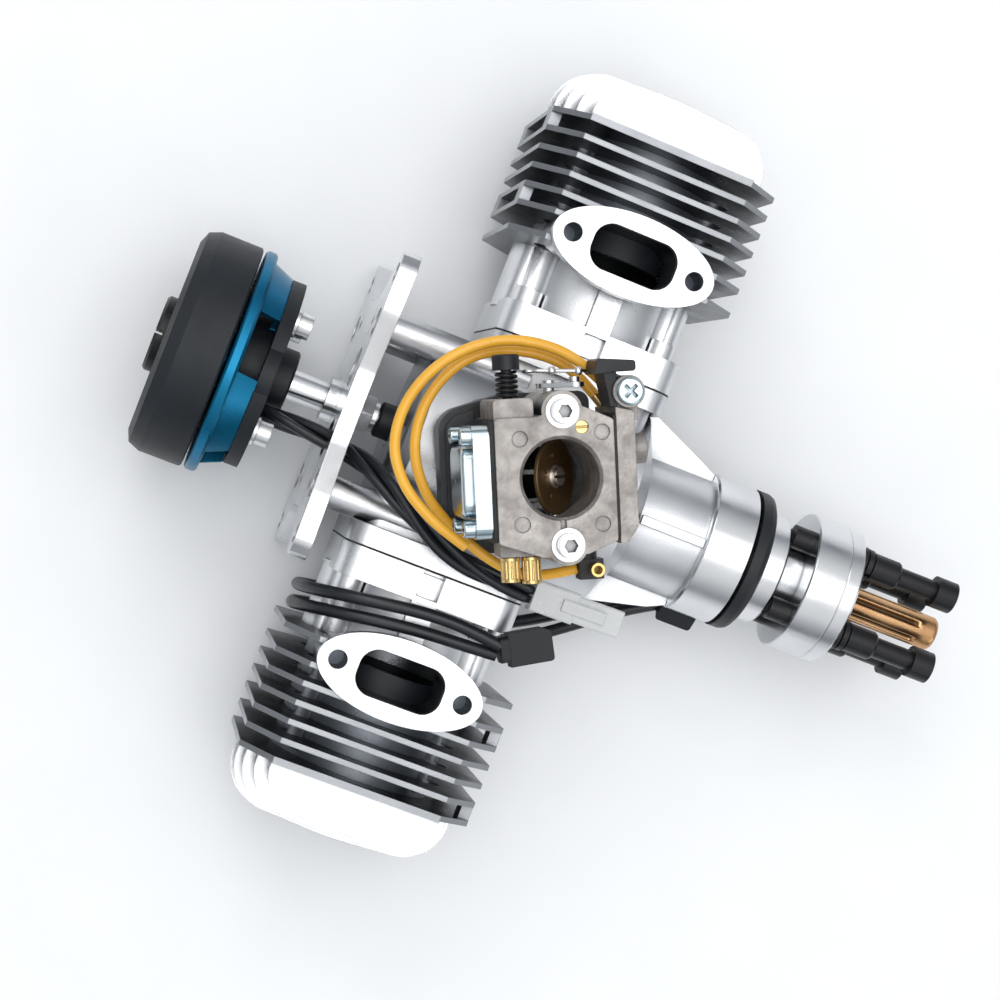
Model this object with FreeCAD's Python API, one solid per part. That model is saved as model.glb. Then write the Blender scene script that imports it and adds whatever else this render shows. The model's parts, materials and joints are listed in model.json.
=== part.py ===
import FreeCAD, Part
import math
import os

V = FreeCAD.Vector
os.makedirs("parts", exist_ok=True)

# Flat twin petrol engine for a model aircraft, with a starter-generator on its tail.
# Frame: millimetres, +X along the crankshaft to the propeller, +Z to the exhaust ports and
# the carburettor, +Y to the forward cylinder. The origin is where the crankshaft axis meets
# the rear face of the mounting plate.

# ---- driving dimensions -------------------------------------------------------------
X = V(1, 0, 0)
Y = V(0, 1, 0)
Z = V(0, 0, 1)
BORE_R = 18.0                 # cylinder bore
STROKE = 30.0
LEFT_X = 55.5                 # cylinder centre lines along the crankshaft
RIGHT_X = 38.5
DECK_Y = 32.5                 # crankcase flange face, from the crankshaft axis
GASKET_T = 0.5
FLANGE_TOP_Y = 41.5
FIN_T = 1.5
FIN_PITCH = 5.2
FIN_FIRST_Y = 58.0
FIN_SECOND_Y = 64.8
FIN_COUNT = 7
FIN_HALF_W = 32.0
FIN_HALF_H = 31.0
HEAD_TOP_Y = 109.5
PORT_Y = 61.8
PORT_FACE_Z = 34.0
PORT_HOLE_X = 17.15
BASE_SCREW_X = 19.2
BASE_SCREW_Z = 14.0

PLATE_T = 4.7
PLATE_HOLE_Y = 35.5
PLATE_HOLE_Z = 30.5
PLATE_HOLE_R = 2.75
WIRE_HOLE_Y = 9.8             # passages for the starter wires
WIRE_HOLE_Z = 15.4
ARM_Y = 22.8
ARM_Z = 16.5
CASE_REAR_X = 18.0
CASE_FRONT_X = 84.0
CASE_R = 28.5
CHAMBER_R = 25.5
CHAMBER_X0 = 27.0
CHAMBER_X1 = 67.0
NOSE_R = 17.3
NOSE_END_X = 104.4
BEARING_R = 11.0
SHAFT_R = 6.0
WEB_R = 22.5
RING_R = 19.7
RING_END_X = 117.3
SENSOR_ANGLE = 216.0
DISC_X0 = 135.2
DISC_X1 = 145.2
DISC_R = 19.6
WASHER_X1 = 149.5
BOLT_CIRCLE_R = 14.5
BOLT_ANGLES = (40, 130, 220, 310)
BOLT_R = 2.9
BOLT_HEAD_X = 172.5
STUD_END_X = 180.4
STUD_R = 4.8
STUD_ROOT_R = 4.5

DRUM_R = 31.0
DRUM_X0 = -48.7
DRUM_X1 = -32.5
HOUSING_X0 = -31.6
HOUSING_X1 = -22.5
STARTER_PLATE_X1 = -18.7
STARTER_BOSS_X1 = -13.3
STARTER_SCREW_R = 21.2
REAR_SHAFT_R = 2.0
POST_R = 4.2

CARB_X = 50.8
CARB_Y = 0.3
CARB_YAW = 24.0
PAD_TOP_Z = 31.0
BLOCK_TOP_Z = 43.6
CARB_BASE_Z = 44.2
CARB_TOP_Z = 75.0
THROAT_R = 9.4
THROTTLE_Z = 63.0
THROTTLE_TILT = 50.0
COVER_U = -20.8               # metering cover: its rim, then its raised middle
COVER_TOP_U = -23.6
CARB_SCREW_U = 0.8
CARB_SCREW_V = 16.0
NEEDLE_R = 2.4


# ---- helpers ------------------------------------------------------------------------
def rod(radius, start, end):
    """Cylinder between two points."""
    start, end = V(*start), V(*end)
    return Part.makeCylinder(radius, (end - start).Length, start, end - start)


def box(x, y, z):
    """Box from (low, high) pairs along each axis."""
    size = (x[1] - x[0], y[1] - y[0], z[1] - z[0])
    return Part.makeBox(*size, V(x[0], y[0], z[0]))


def rounded_wire(points, radii):
    """Closed planar wire through the corners, each one rounded by its own radius."""
    pts = [V(*p) for p in points]
    if not isinstance(radii, (list, tuple)):
        radii = [radii] * len(pts)
    ends = []
    arcs = []
    for i, corner in enumerate(pts):
        to_prev = (pts[i - 1] - corner).normalize()
        to_next = (pts[(i + 1) % len(pts)] - corner).normalize()
        half = to_prev.getAngle(to_next) / 2
        if radii[i] <= 0 or half > math.pi / 2 - 1e-3:
            ends.append((corner, corner))
            arcs.append(None)
            continue
        reach = radii[i] / math.tan(half)
        middle = (to_prev + to_next).normalize()
        first = corner + to_prev * reach
        last = corner + to_next * reach
        nearest = corner + middle * (radii[i] / math.sin(half) - radii[i])
        ends.append((first, last))
        arcs.append(Part.Arc(first, nearest, last).toShape())
    edges = []
    for i, arc in enumerate(arcs):
        if arc is not None:
            edges.append(arc)
        start, end = ends[i][1], ends[(i + 1) % len(pts)][0]
        if (end - start).Length > 1e-6:
            edges.append(Part.makeLine(start, end))
    return Part.Wire(edges)


def plate(points, radii, thickness):
    """Rounded outline extruded along a vector."""
    return Part.Face(rounded_wire(points, radii)).extrude(V(*thickness))


def ellipse_plate(centre, major, a, b, thickness):
    """Elliptical plate: major is the direction of the long half axis a."""
    thickness = V(*thickness)
    minor = thickness.cross(V(*major)).normalize()
    centre = V(*centre)
    curve = Part.Ellipse(centre + V(*major) * a, centre + minor * b, centre)
    return Part.Face(Part.Wire(curve.toShape())).extrude(thickness)


def turned(profile, axis_point=(0, 0, 0), axis=X):
    """Solid of revolution about an X axis, from (x, radius) pairs."""
    pts = [V(x, r, 0) for x, r in profile]
    face = Part.Face(Part.makePolygon(pts + [pts[0]]))
    solid = face.revolve(V(0, 0, 0), X, 360)
    if axis != X:
        solid.rotate(V(0, 0, 0), X.cross(axis), math.degrees(X.getAngle(axis)))
    solid.translate(V(*axis_point))
    return solid


def union(shapes):
    """One solid from many."""
    shapes = list(shapes)
    result = shapes[0].multiFuse(shapes[1:]) if len(shapes) > 1 else shapes[0]
    return result.removeSplitter()


def softened(shape, radius, centre):
    """Rounds the edge whose middle is at the given point."""
    return shape.makeFillet(radius, [e for e in shape.Edges if (e.CenterOfMass - centre).Length < 0.01])


def around(shape, count, axis=X, start=0.0):
    """Copies turned about an axis through the origin."""
    copies = []
    for i in range(count):
        copy = shape.copy()
        copy.rotate(V(0, 0, 0), axis, start + 360.0 * i / count)
        copies.append(copy)
    return copies


def hex_prism(flats, start, end):
    """Hexagonal prism between two points."""
    start, end = V(*start), V(*end)
    radius = flats / math.sqrt(3)
    pts = [V(radius * math.cos(math.radians(60 * i)), radius * math.sin(math.radians(60 * i)), 0) for i in range(6)]
    prism = Part.Face(Part.makePolygon(pts + [pts[0]])).extrude(V(0, 0, (end - start).Length))
    prism.Placement = FreeCAD.Placement(start, FreeCAD.Rotation(Z, end - start))
    return prism


def cap_screw(shank_r, head_r, head_h, socket, tip, seat):
    """Socket head cap screw: shank from tip to seat, head beyond the seat."""
    tip, seat = V(*tip), V(*seat)
    along = (seat - tip).normalize()
    top = seat + along * head_h
    screw = rod(shank_r, tip, seat).fuse(rod(head_r, seat, top))
    recess = hex_prism(socket, top - along * head_h * 0.55, top + along * 0.1)
    return screw.cut(recess).removeSplitter()


def in_carb(shape):
    """Moves a shape from the carburettor's own u, v axes to its place on the engine."""
    placed = shape.copy()
    placed.rotate(V(0, 0, 0), Z, CARB_YAW)
    placed.translate(V(CARB_X, CARB_Y, 0))
    return placed


def as_left(shape):
    """Places a shape built about the +Y axis on the forward (+Y) cylinder."""
    placed = shape.copy()
    placed.translate(V(LEFT_X, 0, 0))
    return placed


def as_right(shape):
    """Same casting turned half a turn about Z for the rear (-Y) cylinder."""
    placed = shape.copy()
    placed.rotate(V(0, 0, 0), Z, 180)
    placed.translate(V(RIGHT_X, 0, 0))
    return placed


# ---- cylinders ----------------------------------------------------------------------
def fin_outline_points(y):
    w, h = FIN_HALF_W, FIN_HALF_H
    return [(-w, y, -22), (-23, y, -h), (23, y, -h), (w, y, -22), (w, y, 22), (23, y, h), (-23, y, h), (-w, y, 22)]


def fin_positions():
    rest = [FIN_SECOND_Y + FIN_PITCH * i for i in range(FIN_COUNT - 1)]
    return [FIN_FIRST_Y] + rest


def head_fin(z):
    """Horizontal head fin: a D-shaped plate that shrinks towards the top and bottom."""
    fall = (abs(z) / 30.0) ** 1.7
    half = 31.0 - 8.0 * fall
    tip = HEAD_TOP_Y - 8.2 * fall
    root = 90.9
    corner = 13.0 - 6.0 * fall
    pts = [(-half, root, z - 1), (half, root, z - 1), (half, tip - 1.2, z - 1), (0, tip + 0.6, z - 1),
           (-half, tip - 1.2, z - 1)]
    return plate(pts, [0, 0, corner, 90, corner], (0, 0, 2))


PLUG_AXIS = V(0, math.sin(math.radians(35)), -math.cos(math.radians(35)))
PLUG_ORIGIN = V(0, 92, -6)


def on_plug(distance):
    return PLUG_ORIGIN + PLUG_AXIS * distance


def cylinder_casting():
    """Cylinder and head in one casting, built about the +Y axis with its port facing +Z."""
    corners = [(-25, DECK_Y + GASKET_T, -24), (25, DECK_Y + GASKET_T, -24), (25, DECK_Y + GASKET_T, 24),
               (-25, DECK_Y + GASKET_T, 24)]
    flange_h = FLANGE_TOP_Y - DECK_Y - GASKET_T
    flange = plate(corners, 6, (0, flange_h, 0))
    for side in (-1, 1):
        flange = flange.cut(box((-3, 3), (30, 45), sorted((side * 20.5, side * 26))))
    spigot = rod(19.9, (0, 25.5, 0), (0, 34, 0))
    barrel = rod(22.3, (0, 34, 0), (0, 92, 0))
    transfer = [ellipse_plate((side * 21.5, 40, 0), (0, 0, 1), 8.5, 4.5, (0, 18, 0)) for side in (-1, 1)]
    ribs = [box((-3.4, 3.4), (40, FIN_FIRST_Y), sorted((side * 20, side * 24))) for side in (-1, 1)]
    fins = [plate(fin_outline_points(y), 0, (0, FIN_T, 0)) for y in fin_positions()]
    core = softened(rod(21.0, (0, 90, 0), (0, 100, 0)), 4, V(0, 100, 0))
    head = [head_fin(z) for z in (-30, -22.5, -15, -7.5, 0, 7.5, 15, 22.5, 30)]
    port_flange = ellipse_plate((0, PORT_Y, PORT_FACE_Z - 4.5), (1, 0, 0), 22.5, 10.8, (0, 0, 4.5))
    duct = ellipse_plate((0, PORT_Y, 8), (1, 0, 0), 17.5, 9.2, (0, 0, PORT_FACE_Z - 12))
    ears = [rod(5.0, (side * PORT_HOLE_X, PORT_Y, 16), (side * PORT_HOLE_X, PORT_Y, PORT_FACE_Z - 4)) for side in (-1, 1)]
    ties = []
    for low, high in ((FIN_COUNT - 2, FIN_COUNT - 1), (1, 2)):
        y0, y1 = fin_positions()[low], fin_positions()[high] + FIN_T
        ties += [box((-FIN_HALF_W, -29.0), (y0, y1), sorted((side * 15, side * 21.5))) for side in (-1, 1)]
    body = union([flange, spigot, barrel, core, port_flange, duct] + transfer + ribs + fins + head + ears + ties)
    cuts = [rod(BORE_R, (0, 20, 0), (0, 89, 0))]
    dome = Part.makeSphere(30, V(0, 65, 0)).common(rod(BORE_R, (0, 88.9, 0), (0, 97, 0)))
    cuts.append(dome)
    port_pts = [(-11.6, PORT_Y - 6.2, 10), (11.6, PORT_Y - 6.2, 10), (11.6, PORT_Y + 6.2, 10), (-11.6, PORT_Y + 6.2, 10)]
    cuts.append(plate(port_pts, 5, (0, 0, 30)))
    for side in (-1, 1):
        cuts.append(rod(2.5, (side * PORT_HOLE_X, PORT_Y, PORT_FACE_Z - 10), (side * PORT_HOLE_X, PORT_Y, 40)))
        for z in (-BASE_SCREW_Z, BASE_SCREW_Z):
            x = side * BASE_SCREW_X
            cuts.append(rod(2.6, (x, 30, z), (x, 45, z)))
            cuts.append(rod(4.6, (x, FLANGE_TOP_Y, z), (x, FIN_FIRST_Y - 0.5, z)))
            cuts.append(rod(3.6, (x, FIN_FIRST_Y - 1, z), (x, 89.5, z)))
    cuts.append(rod(9.6, on_plug(9.5), on_plug(40)))
    cuts.append(rod(5.0, on_plug(1), on_plug(12)))
    for cut in cuts:
        body = body.cut(cut)
    return body


def base_gasket():
    pts = [(-25, DECK_Y, -24), (25, DECK_Y, -24), (25, DECK_Y, 24), (-25, DECK_Y, 24)]
    gasket = plate(pts, 6, (0, GASKET_T, 0)).cut(rod(20.0, (0, 30, 0), (0, 35, 0)))
    for x in (-BASE_SCREW_X, BASE_SCREW_X):
        for z in (-BASE_SCREW_Z, BASE_SCREW_Z):
            gasket = gasket.cut(rod(2.6, (x, 30, z), (x, 35, z)))
    return gasket


def base_screws():
    screws = []
    for x in (-BASE_SCREW_X, BASE_SCREW_X):
        for z in (-BASE_SCREW_Z, BASE_SCREW_Z):
            screws.append(cap_screw(2.5, 4.1, 4.6, 4.0, (x, 27.5, z), (x, FLANGE_TOP_Y, z)))
    return Part.makeCompound(screws)


def spark_plug():
    thread = rod(5.0, on_plug(3), on_plug(9.5))
    collar = rod(7.2, on_plug(9.5), on_plug(11))
    nut = hex_prism(13.0, on_plug(11), on_plug(16))
    return union([thread, collar, nut])


def plug_insulator():
    ribs = [rod(4.2, on_plug(17 + 2.2 * i), on_plug(18.2 + 2.2 * i)) for i in range(3)]
    stem = rod(3.7, on_plug(16), on_plug(24.5))
    terminal = rod(2.4, on_plug(24.5), on_plug(28.5))
    return union([stem, terminal] + ribs)


def piston():
    """Piston near the top of its stroke, with two ring grooves, a hollow skirt and its pin."""
    crown_y = 88.0
    body = rod(BORE_R - 0.05, (0, crown_y - 26, 0), (0, crown_y, 0))
    body = body.cut(rod(15.2, (0, crown_y - 27, 0), (0, crown_y - 5, 0)))
    for depth in (3.0, 6.2):
        groove = rod(BORE_R + 1, (0, crown_y - depth - 1.2, 0), (0, crown_y - depth, 0))
        groove = groove.cut(rod(BORE_R - 1.0, (0, crown_y - 20, 0), (0, crown_y, 0)))
        body = body.cut(groove)
    pin = rod(4.5, (-16.5, crown_y - 16, 0), (16.5, crown_y - 16, 0))
    bosses = [rod(6.5, (side * 8, crown_y - 16, 0), (side * 16, crown_y - 16, 0)) for side in (-1, 1)]
    return union([body, pin] + bosses)


# ---- crankcase ----------------------------------------------------------------------
def gusset(side, root_x):
    """Web in the crankshaft plane from a cylinder flange to the end of the nose."""
    pts = [(root_x, side * 31, -2.5), (CASE_FRONT_X - 3, 0, -2.5), (NOSE_END_X, 0, -2.5),
           (NOSE_END_X, side * 19.2, -2.5), (NOSE_END_X - 5, side * 21.5, -2.5)]
    return plate(pts, [2, 0, 0, 0, 3], (0, 0, 5))


def crankcase():
    barrel = turned([(CASE_REAR_X, 0), (CASE_REAR_X, CASE_R - 3), (CASE_REAR_X + 3, CASE_R), (CASE_FRONT_X - 4, CASE_R),
                     (CASE_FRONT_X + 1.5, NOSE_R), (NOSE_END_X, NOSE_R), (NOSE_END_X, 0)])
    parts = [barrel, gusset(1, LEFT_X + 22), gusset(-1, RIGHT_X + 22)]
    for side, centre in ((1, LEFT_X), (-1, RIGHT_X)):
        face = side * DECK_Y
        near = side * (DECK_Y - 5.5)
        pts = [(centre - 25, near, -24), (centre + 25, near, -24), (centre + 25, near, 24), (centre - 25, near, 24)]
        parts.append(plate(pts, 6, (0, face - near, 0)))
        pts = [(centre - 22.5, 0, -20.5), (centre + 22.5, 0, -20.5), (centre + 22.5, 0, 20.5), (centre - 22.5, 0, 20.5)]
        parts.append(plate(pts, 5, (0, near, 0)))
    for y in (-ARM_Y, ARM_Y):
        reach = 36 if y < 0 else 44
        for z in (-ARM_Z, ARM_Z):
            parts.append(rod(4.5, (PLATE_T, y, z), (reach, y, z)))
    parts.append(box((86, NOSE_END_X), (-1.2, 1.2), (15, NOSE_R + 1.2)))
    pad = [(-15.5, -19.5, 20), (14, -19.5, 20), (14, 19.5, 20), (-15.5, 19.5, 20)]
    parts.append(in_carb(plate(pad, 4, (0, 0, PAD_TOP_Z - 20))))
    body = union(parts)
    body = body.cut(rod(CHAMBER_R, (CHAMBER_X0, 0, 0), (CHAMBER_X1, 0, 0)))
    body = body.cut(rod(SHAFT_R + 1.0, (0, 0, 0), (NOSE_END_X + 1, 0, 0)))
    body = body.cut(rod(BEARING_R, (19.5, 0, 0), (CHAMBER_X0 + 1, 0, 0)))
    body = body.cut(rod(BEARING_R, (CHAMBER_X1 - 1, 0, 0), (76, 0, 0)))
    body = body.cut(rod(BEARING_R, (93, 0, 0), (NOSE_END_X + 1, 0, 0)))
    for side, centre in ((1, LEFT_X), (-1, RIGHT_X)):
        body = body.cut(rod(20.0, (centre, 0, 0), (centre, side * 40, 0)))
        for x in (-BASE_SCREW_X, BASE_SCREW_X):
            for z in (-BASE_SCREW_Z, BASE_SCREW_Z):
                body = body.cut(rod(2.5, (centre + x, side * 27.5, z), (centre + x, side * 40, z)))
    body = body.cut(in_carb(rod(THROAT_R, (0, 0, 15), (0, 0, 40))))
    for v in (-CARB_SCREW_V, CARB_SCREW_V):
        body = body.cut(in_carb(rod(2.4, (CARB_SCREW_U, v, 25), (CARB_SCREW_U, v, 40))))
    for y in (-ARM_Y, ARM_Y):
        for z in (-ARM_Z, ARM_Z):
            body = body.cut(rod(2.0, (0, y, z), (14, y, z)))
    body = body.cut(turned([(NOSE_END_X - 1.2, 13.2), (NOSE_END_X - 1.2, 15.2), (NOSE_END_X + 1, 15.2), (NOSE_END_X + 1, 13.2)]))
    return body


def main_bearing(x0, x1):
    """Sealed ball bearing: outer race, shield set back on both faces, inner race."""
    profile = [(x0, SHAFT_R + 0.05), (x0, 7.8), (x0 + 0.6, 7.8), (x0 + 0.6, 9.4), (x0, 9.4), (x0, BEARING_R),
               (x1, BEARING_R), (x1, 9.4), (x1 - 0.6, 9.4), (x1 - 0.6, 7.8), (x1, 7.8), (x1, SHAFT_R + 0.05)]
    return turned(profile)


def sensor_ring():
    ring = turned([(NOSE_END_X, 13.2), (NOSE_END_X, 17.3), (NOSE_END_X + 0.1, RING_R - 0.6), (NOSE_END_X + 0.7, RING_R),
                   (RING_END_X - 0.4, RING_R), (RING_END_X, RING_R - 0.4), (RING_END_X, 13.2)])
    lip = turned([(NOSE_END_X - 1.2, 13.2), (NOSE_END_X - 1.2, 15.2), (NOSE_END_X, 15.2), (NOSE_END_X, 13.2)])
    return union([ring, lip])


def hall_sensor():
    """Sensor block seated on the ring, low on the -Y side."""
    block = plate([(106.2, 18, -5.5), (116.8, 18, -5.5), (116.8, 25.4, -5.5), (106.2, 25.4, -5.5)], 1.0, (0, 0, 11))
    block.rotate(V(0, 0, 0), X, SENSOR_ANGLE)
    return block.cut(rod(RING_R, (100, 0, 0), (120, 0, 0)))


# ---- crankshaft group ---------------------------------------------------------------
def crank_web(x0, x1, side):
    """Web with its counterweight opposite the pin and the flanks cut away."""
    web = rod(WEB_R, (x0, 0, 0), (x1, 0, 0))
    for flank in (-1, 1):
        cut = box((x0 - 1, x1 + 1), (-30, 30), (10, 40))
        cut.rotate(V(0, 0, 0), X, 0 if flank > 0 else 180)
        cut = cut.cut(box((x0 - 2, x1 + 2), sorted((0, -side * 40)), (-40, 40)))
        web = web.cut(cut)
    return web


def crankshaft():
    pieces = [rod(REAR_SHAFT_R, (-45.5, 0, 0), (22, 0, 0)), rod(SHAFT_R, (20.5, 0, 0), (30, 0, 0)),
              rod(SHAFT_R, (64, 0, 0), (134, 0, 0)), rod(8.5, (28, 0, 0), (30, 0, 0)), rod(8.5, (64, 0, 0), (66, 0, 0))]
    pieces += [crank_web(30, 34, -1), crank_web(60, 64, 1)]
    pieces.append(rod(WEB_R - 1, (43, 0, 0), (51, 0, 0)))
    pieces.append(rod(5.5, (33, -STROKE / 2, 0), (44, -STROKE / 2, 0)))
    pieces.append(rod(5.5, (50, STROKE / 2, 0), (61, STROKE / 2, 0)))
    return union(pieces)


def prop_hub():
    hub = turned([(105.0, 0), (105.0, 12.0), (105.6, 12.6), (118, 12.6), (118, 15.5), (128.2, 15.5), (128.8, 14.9),
                  (128.8, 10.8), (DISC_X0, 10.8), (DISC_X0, DISC_R - 0.4), (DISC_X0 + 0.4, DISC_R),
                  (DISC_X1 - 0.2, DISC_R), (DISC_X1, DISC_R - 0.2), (DISC_X1, 0)])
    hub = hub.cut(rod(SHAFT_R, (100, 0, 0), (134, 0, 0)))
    hub = hub.cut(rod(STUD_ROOT_R, (136, 0, 0), (150, 0, 0)))
    for hole in around(rod(BOLT_R, (130, BOLT_CIRCLE_R, 0), (150, BOLT_CIRCLE_R, 0)), 4, X, BOLT_ANGLES[0]):
        hub = hub.cut(hole)
    return hub


def magnet_band():
    band = turned([(118.0, 15.5), (118.0, 19.9), (120.8, 19.9), (121.9, 19.5), (122.6, 18.4), (122.6, 15.5)])
    return band


def prop_washer():
    washer = turned([(DISC_X1, STUD_ROOT_R), (DISC_X1, DISC_R - 0.2), (DISC_X1 + 0.2, DISC_R), (WASHER_X1 - 0.6, DISC_R),
                     (WASHER_X1, DISC_R - 0.6), (WASHER_X1, STUD_ROOT_R)])
    for hole in around(rod(BOLT_R, (DISC_X1 - 1, BOLT_CIRCLE_R, 0), (150, BOLT_CIRCLE_R, 0)), 4, X, BOLT_ANGLES[0]):
        washer = washer.cut(hole)
    return washer


def prop_bolts():
    bolt = cap_screw(BOLT_R, 4.4, 6.0, 4.0, (129.2, BOLT_CIRCLE_R, 0), (BOLT_HEAD_X, BOLT_CIRCLE_R, 0))
    tail = rod(3.3, (129.2, BOLT_CIRCLE_R, 0), (DISC_X0, BOLT_CIRCLE_R, 0))
    return Part.makeCompound(around(union([bolt, tail]), 4, X, BOLT_ANGLES[0]))


def bolt_collars():
    """Plain washer, split spring washer and spacer collar under each propeller bolt."""
    centre = (0, BOLT_CIRCLE_R, 0)
    flat = turned([(WASHER_X1, BOLT_R), (WASHER_X1, 4.6), (WASHER_X1 + 1, 4.6), (WASHER_X1 + 1, BOLT_R)], centre)
    spring = turned([(151.0, BOLT_R), (151.0, 4.4), (152.5, 4.4), (152.5, BOLT_R)], centre)
    spring = spring.cut(box((150.6, 153), (BOLT_CIRCLE_R - 0.5, BOLT_CIRCLE_R + 0.5), (0, 6)))
    collar = turned([(153.0, BOLT_R), (153.0, 4.0), (160.6, 4.0), (161.2, 3.6), (161.2, BOLT_R)], centre)
    pieces = []
    for piece in (flat, spring, collar):
        pieces += around(piece, 4, X, BOLT_ANGLES[0])
    return Part.makeCompound(pieces)


def centre_stud():
    return turned([(136.0, 0), (136.0, STUD_ROOT_R), (WASHER_X1, STUD_ROOT_R), (WASHER_X1, STUD_R),
                   (STUD_END_X - 1.2, STUD_R), (STUD_END_X, STUD_R - 1.2), (STUD_END_X, 0)])


# ---- mounting plate -----------------------------------------------------------------
def mount_plate():
    """Four-lobed plate: a waist at top and bottom and a notch at each side."""
    ring = [(9, 28.5), (25, 33.6), (37, 35.4), (41.5, 32.0), (41.0, 26.5), (29.5, 12.0)]
    pts = [(0, y, z) for y, z in ring]
    pts += [(0, y, -z) for y, z in reversed(ring)]
    pts += [(0, -y, -z) for y, z in ring]
    pts += [(0, -y, z) for y, z in reversed(ring)]
    radii = [14, 20, 4, 3, 5, 12]
    radii = radii + radii[::-1] + radii + radii[::-1]
    body = plate(pts, radii, (PLATE_T, 0, 0))
    body = body.cut(rod(POST_R, (-1, 0, 0), (10, 0, 0)))
    for y in (-WIRE_HOLE_Y, WIRE_HOLE_Y):
        body = body.cut(rod(5.6, (-1, y, WIRE_HOLE_Z), (10, y, WIRE_HOLE_Z)))
    for y in (-1, 1):
        for z in (-1, 1):
            hole_y, hole_z = y * PLATE_HOLE_Y, z * PLATE_HOLE_Z
            body = body.cut(rod(PLATE_HOLE_R, (-1, hole_y, hole_z), (10, hole_y, hole_z)))
            body = body.cut(rod(4.0, (-1, y * 22.0, z * 27.0), (10, y * 22.0, z * 27.0)))
            body = body.cut(rod(2.0, (-1, y * ARM_Y, z * ARM_Z), (10, y * ARM_Y, z * ARM_Z)))
            sink = Part.makeCone(4.0, 2.0, 2.2, V(0, y * ARM_Y, z * ARM_Z), X)
            body = body.cut(sink)
    return body


def plate_screws():
    screws = []
    for y in (-ARM_Y, ARM_Y):
        for z in (-ARM_Z, ARM_Z):
            head = Part.makeCone(4.0, 2.0, 2.2, V(0, y, z), X)
            screw = head.fuse(rod(2.0, (2, y, z), (13.5, y, z)))
            screws.append(screw.cut(hex_prism(2.5, (-0.1, y, z), (1.6, y, z))).removeSplitter())
    return Part.makeCompound(screws)


# ---- starter-generator --------------------------------------------------------------
def centre_post():
    profile = [(STARTER_BOSS_X1, 2.4), (STARTER_BOSS_X1, POST_R), (-3.2, POST_R), (-3.2, 6.0), (0, 6.0), (0, POST_R),
               (11.5, POST_R), (11.5, 2.4)]
    return turned(profile)


def shaft_seal():
    """Black sleeve round the rear shaft where it enters the crankcase."""
    return turned([(12.0, 2.4), (12.0, 4.6), (12.5, 4.9), (17.2, 4.9), (17.2, 6.9), (19.3, 6.9), (19.3, 2.4)])


def post_nut():
    washer = turned([(PLATE_T, POST_R), (PLATE_T, 6.8), (PLATE_T + 1, 6.8), (PLATE_T + 1, POST_R)])
    nut = hex_prism(10.0, (PLATE_T + 1, 0, 0), (PLATE_T + 5.4, 0, 0)).cut(rod(POST_R, (0, 0, 0), (20, 0, 0)))
    return Part.makeCompound([washer, nut])


def starter_plate():
    """Bearer plate with its boss and, behind it, the dark sleeve that shows in the windows."""
    profile = [(-28.6, 10.9), (-28.6, 16.7), (HOUSING_X1, 16.7), (HOUSING_X1, 26.5), (STARTER_PLATE_X1, 26.5), (STARTER_PLATE_X1, 8.9),
               (STARTER_BOSS_X1 - 0.6, 8.9), (STARTER_BOSS_X1, 8.3), (STARTER_BOSS_X1, 2.6), (-17.5, 2.6), (-17.5, 7.5),
               (HOUSING_X1, 7.5), (HOUSING_X1, 10.9)]
    body = turned(profile)
    for scallop in around(rod(9.0, (-24, 32.5, 0), (-18, 32.5, 0)), 4, X, 0):
        body = body.cut(scallop)
    for hole in around(rod(1.6, (-24, STARTER_SCREW_R, 0), (-18, STARTER_SCREW_R, 0)), 4, X, 45):
        body = body.cut(hole)
    return body


def stator_housing():
    """Open housing: a rim beside the drum, a cone down to the plate, four windows and a hub."""
    shell = turned([(HOUSING_X0, 0), (HOUSING_X0, 30.4), (-31.0, 31.0), (-29.0, 31.0), (-28.4, 30.4), (-28.4, 28.6),
                    (HOUSING_X1, 26.2), (HOUSING_X1, 0)])
    cavity = turned([(-30.0, 10.5), (-30.0, 25.6), (-24.0, 23.6), (-24.0, 10.5)])
    open_front = rod(17.0, (-25, 0, 0), (-22, 0, 0)).cut(rod(10.5, (-26, 0, 0), (-21, 0, 0)))
    shell = shell.cut(cavity).cut(open_front)
    window = box((-28.2, -21.9), (15, 34), (-8.5, 8.5))
    for opening in around(window, 4, X, 78):
        shell = shell.cut(opening)
    tube = rod(8.5, (-45.0, 0, 0), (HOUSING_X0, 0, 0))
    shell = shell.fuse(tube).cut(rod(7.2, (-50, 0, 0), (-28.5, 0, 0))).cut(rod(6.0, (-29, 0, 0), (-20, 0, 0)))
    for hole in around(rod(1.6, (-27.5, STARTER_SCREW_R, 0), (-20, STARTER_SCREW_R, 0)), 4, X, 45):
        shell = shell.cut(hole)
    return shell.removeSplitter()


def shaft_bearing():
    """Small ball bearing for the rear shaft, in the housing's hub."""
    race = rod(6.0, (-28.0, 0, 0), (-23.5, 0, 0)).cut(rod(2.06, (-30, 0, 0), (-20, 0, 0)))
    groove = turned([(-28.1, 3.2), (-28.1, 4.8), (-27.2, 4.8), (-27.2, 3.2)])
    return race.cut(groove)


def starter_screws():
    screws = []
    seat = STARTER_PLATE_X1 + 1.0
    for screw in around(cap_screw(1.6, 3.4, 3.6, 2.5, (-27.0, STARTER_SCREW_R, 0), (seat, STARTER_SCREW_R, 0)), 4, X, 45):
        screws.append(screw)
    ring = turned([(STARTER_PLATE_X1, 1.6), (STARTER_PLATE_X1, 4.0), (seat, 4.0), (seat, 1.6)], (0, STARTER_SCREW_R, 0))
    screws += around(ring, 4, X, 45)
    return Part.makeCompound(screws)


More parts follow.
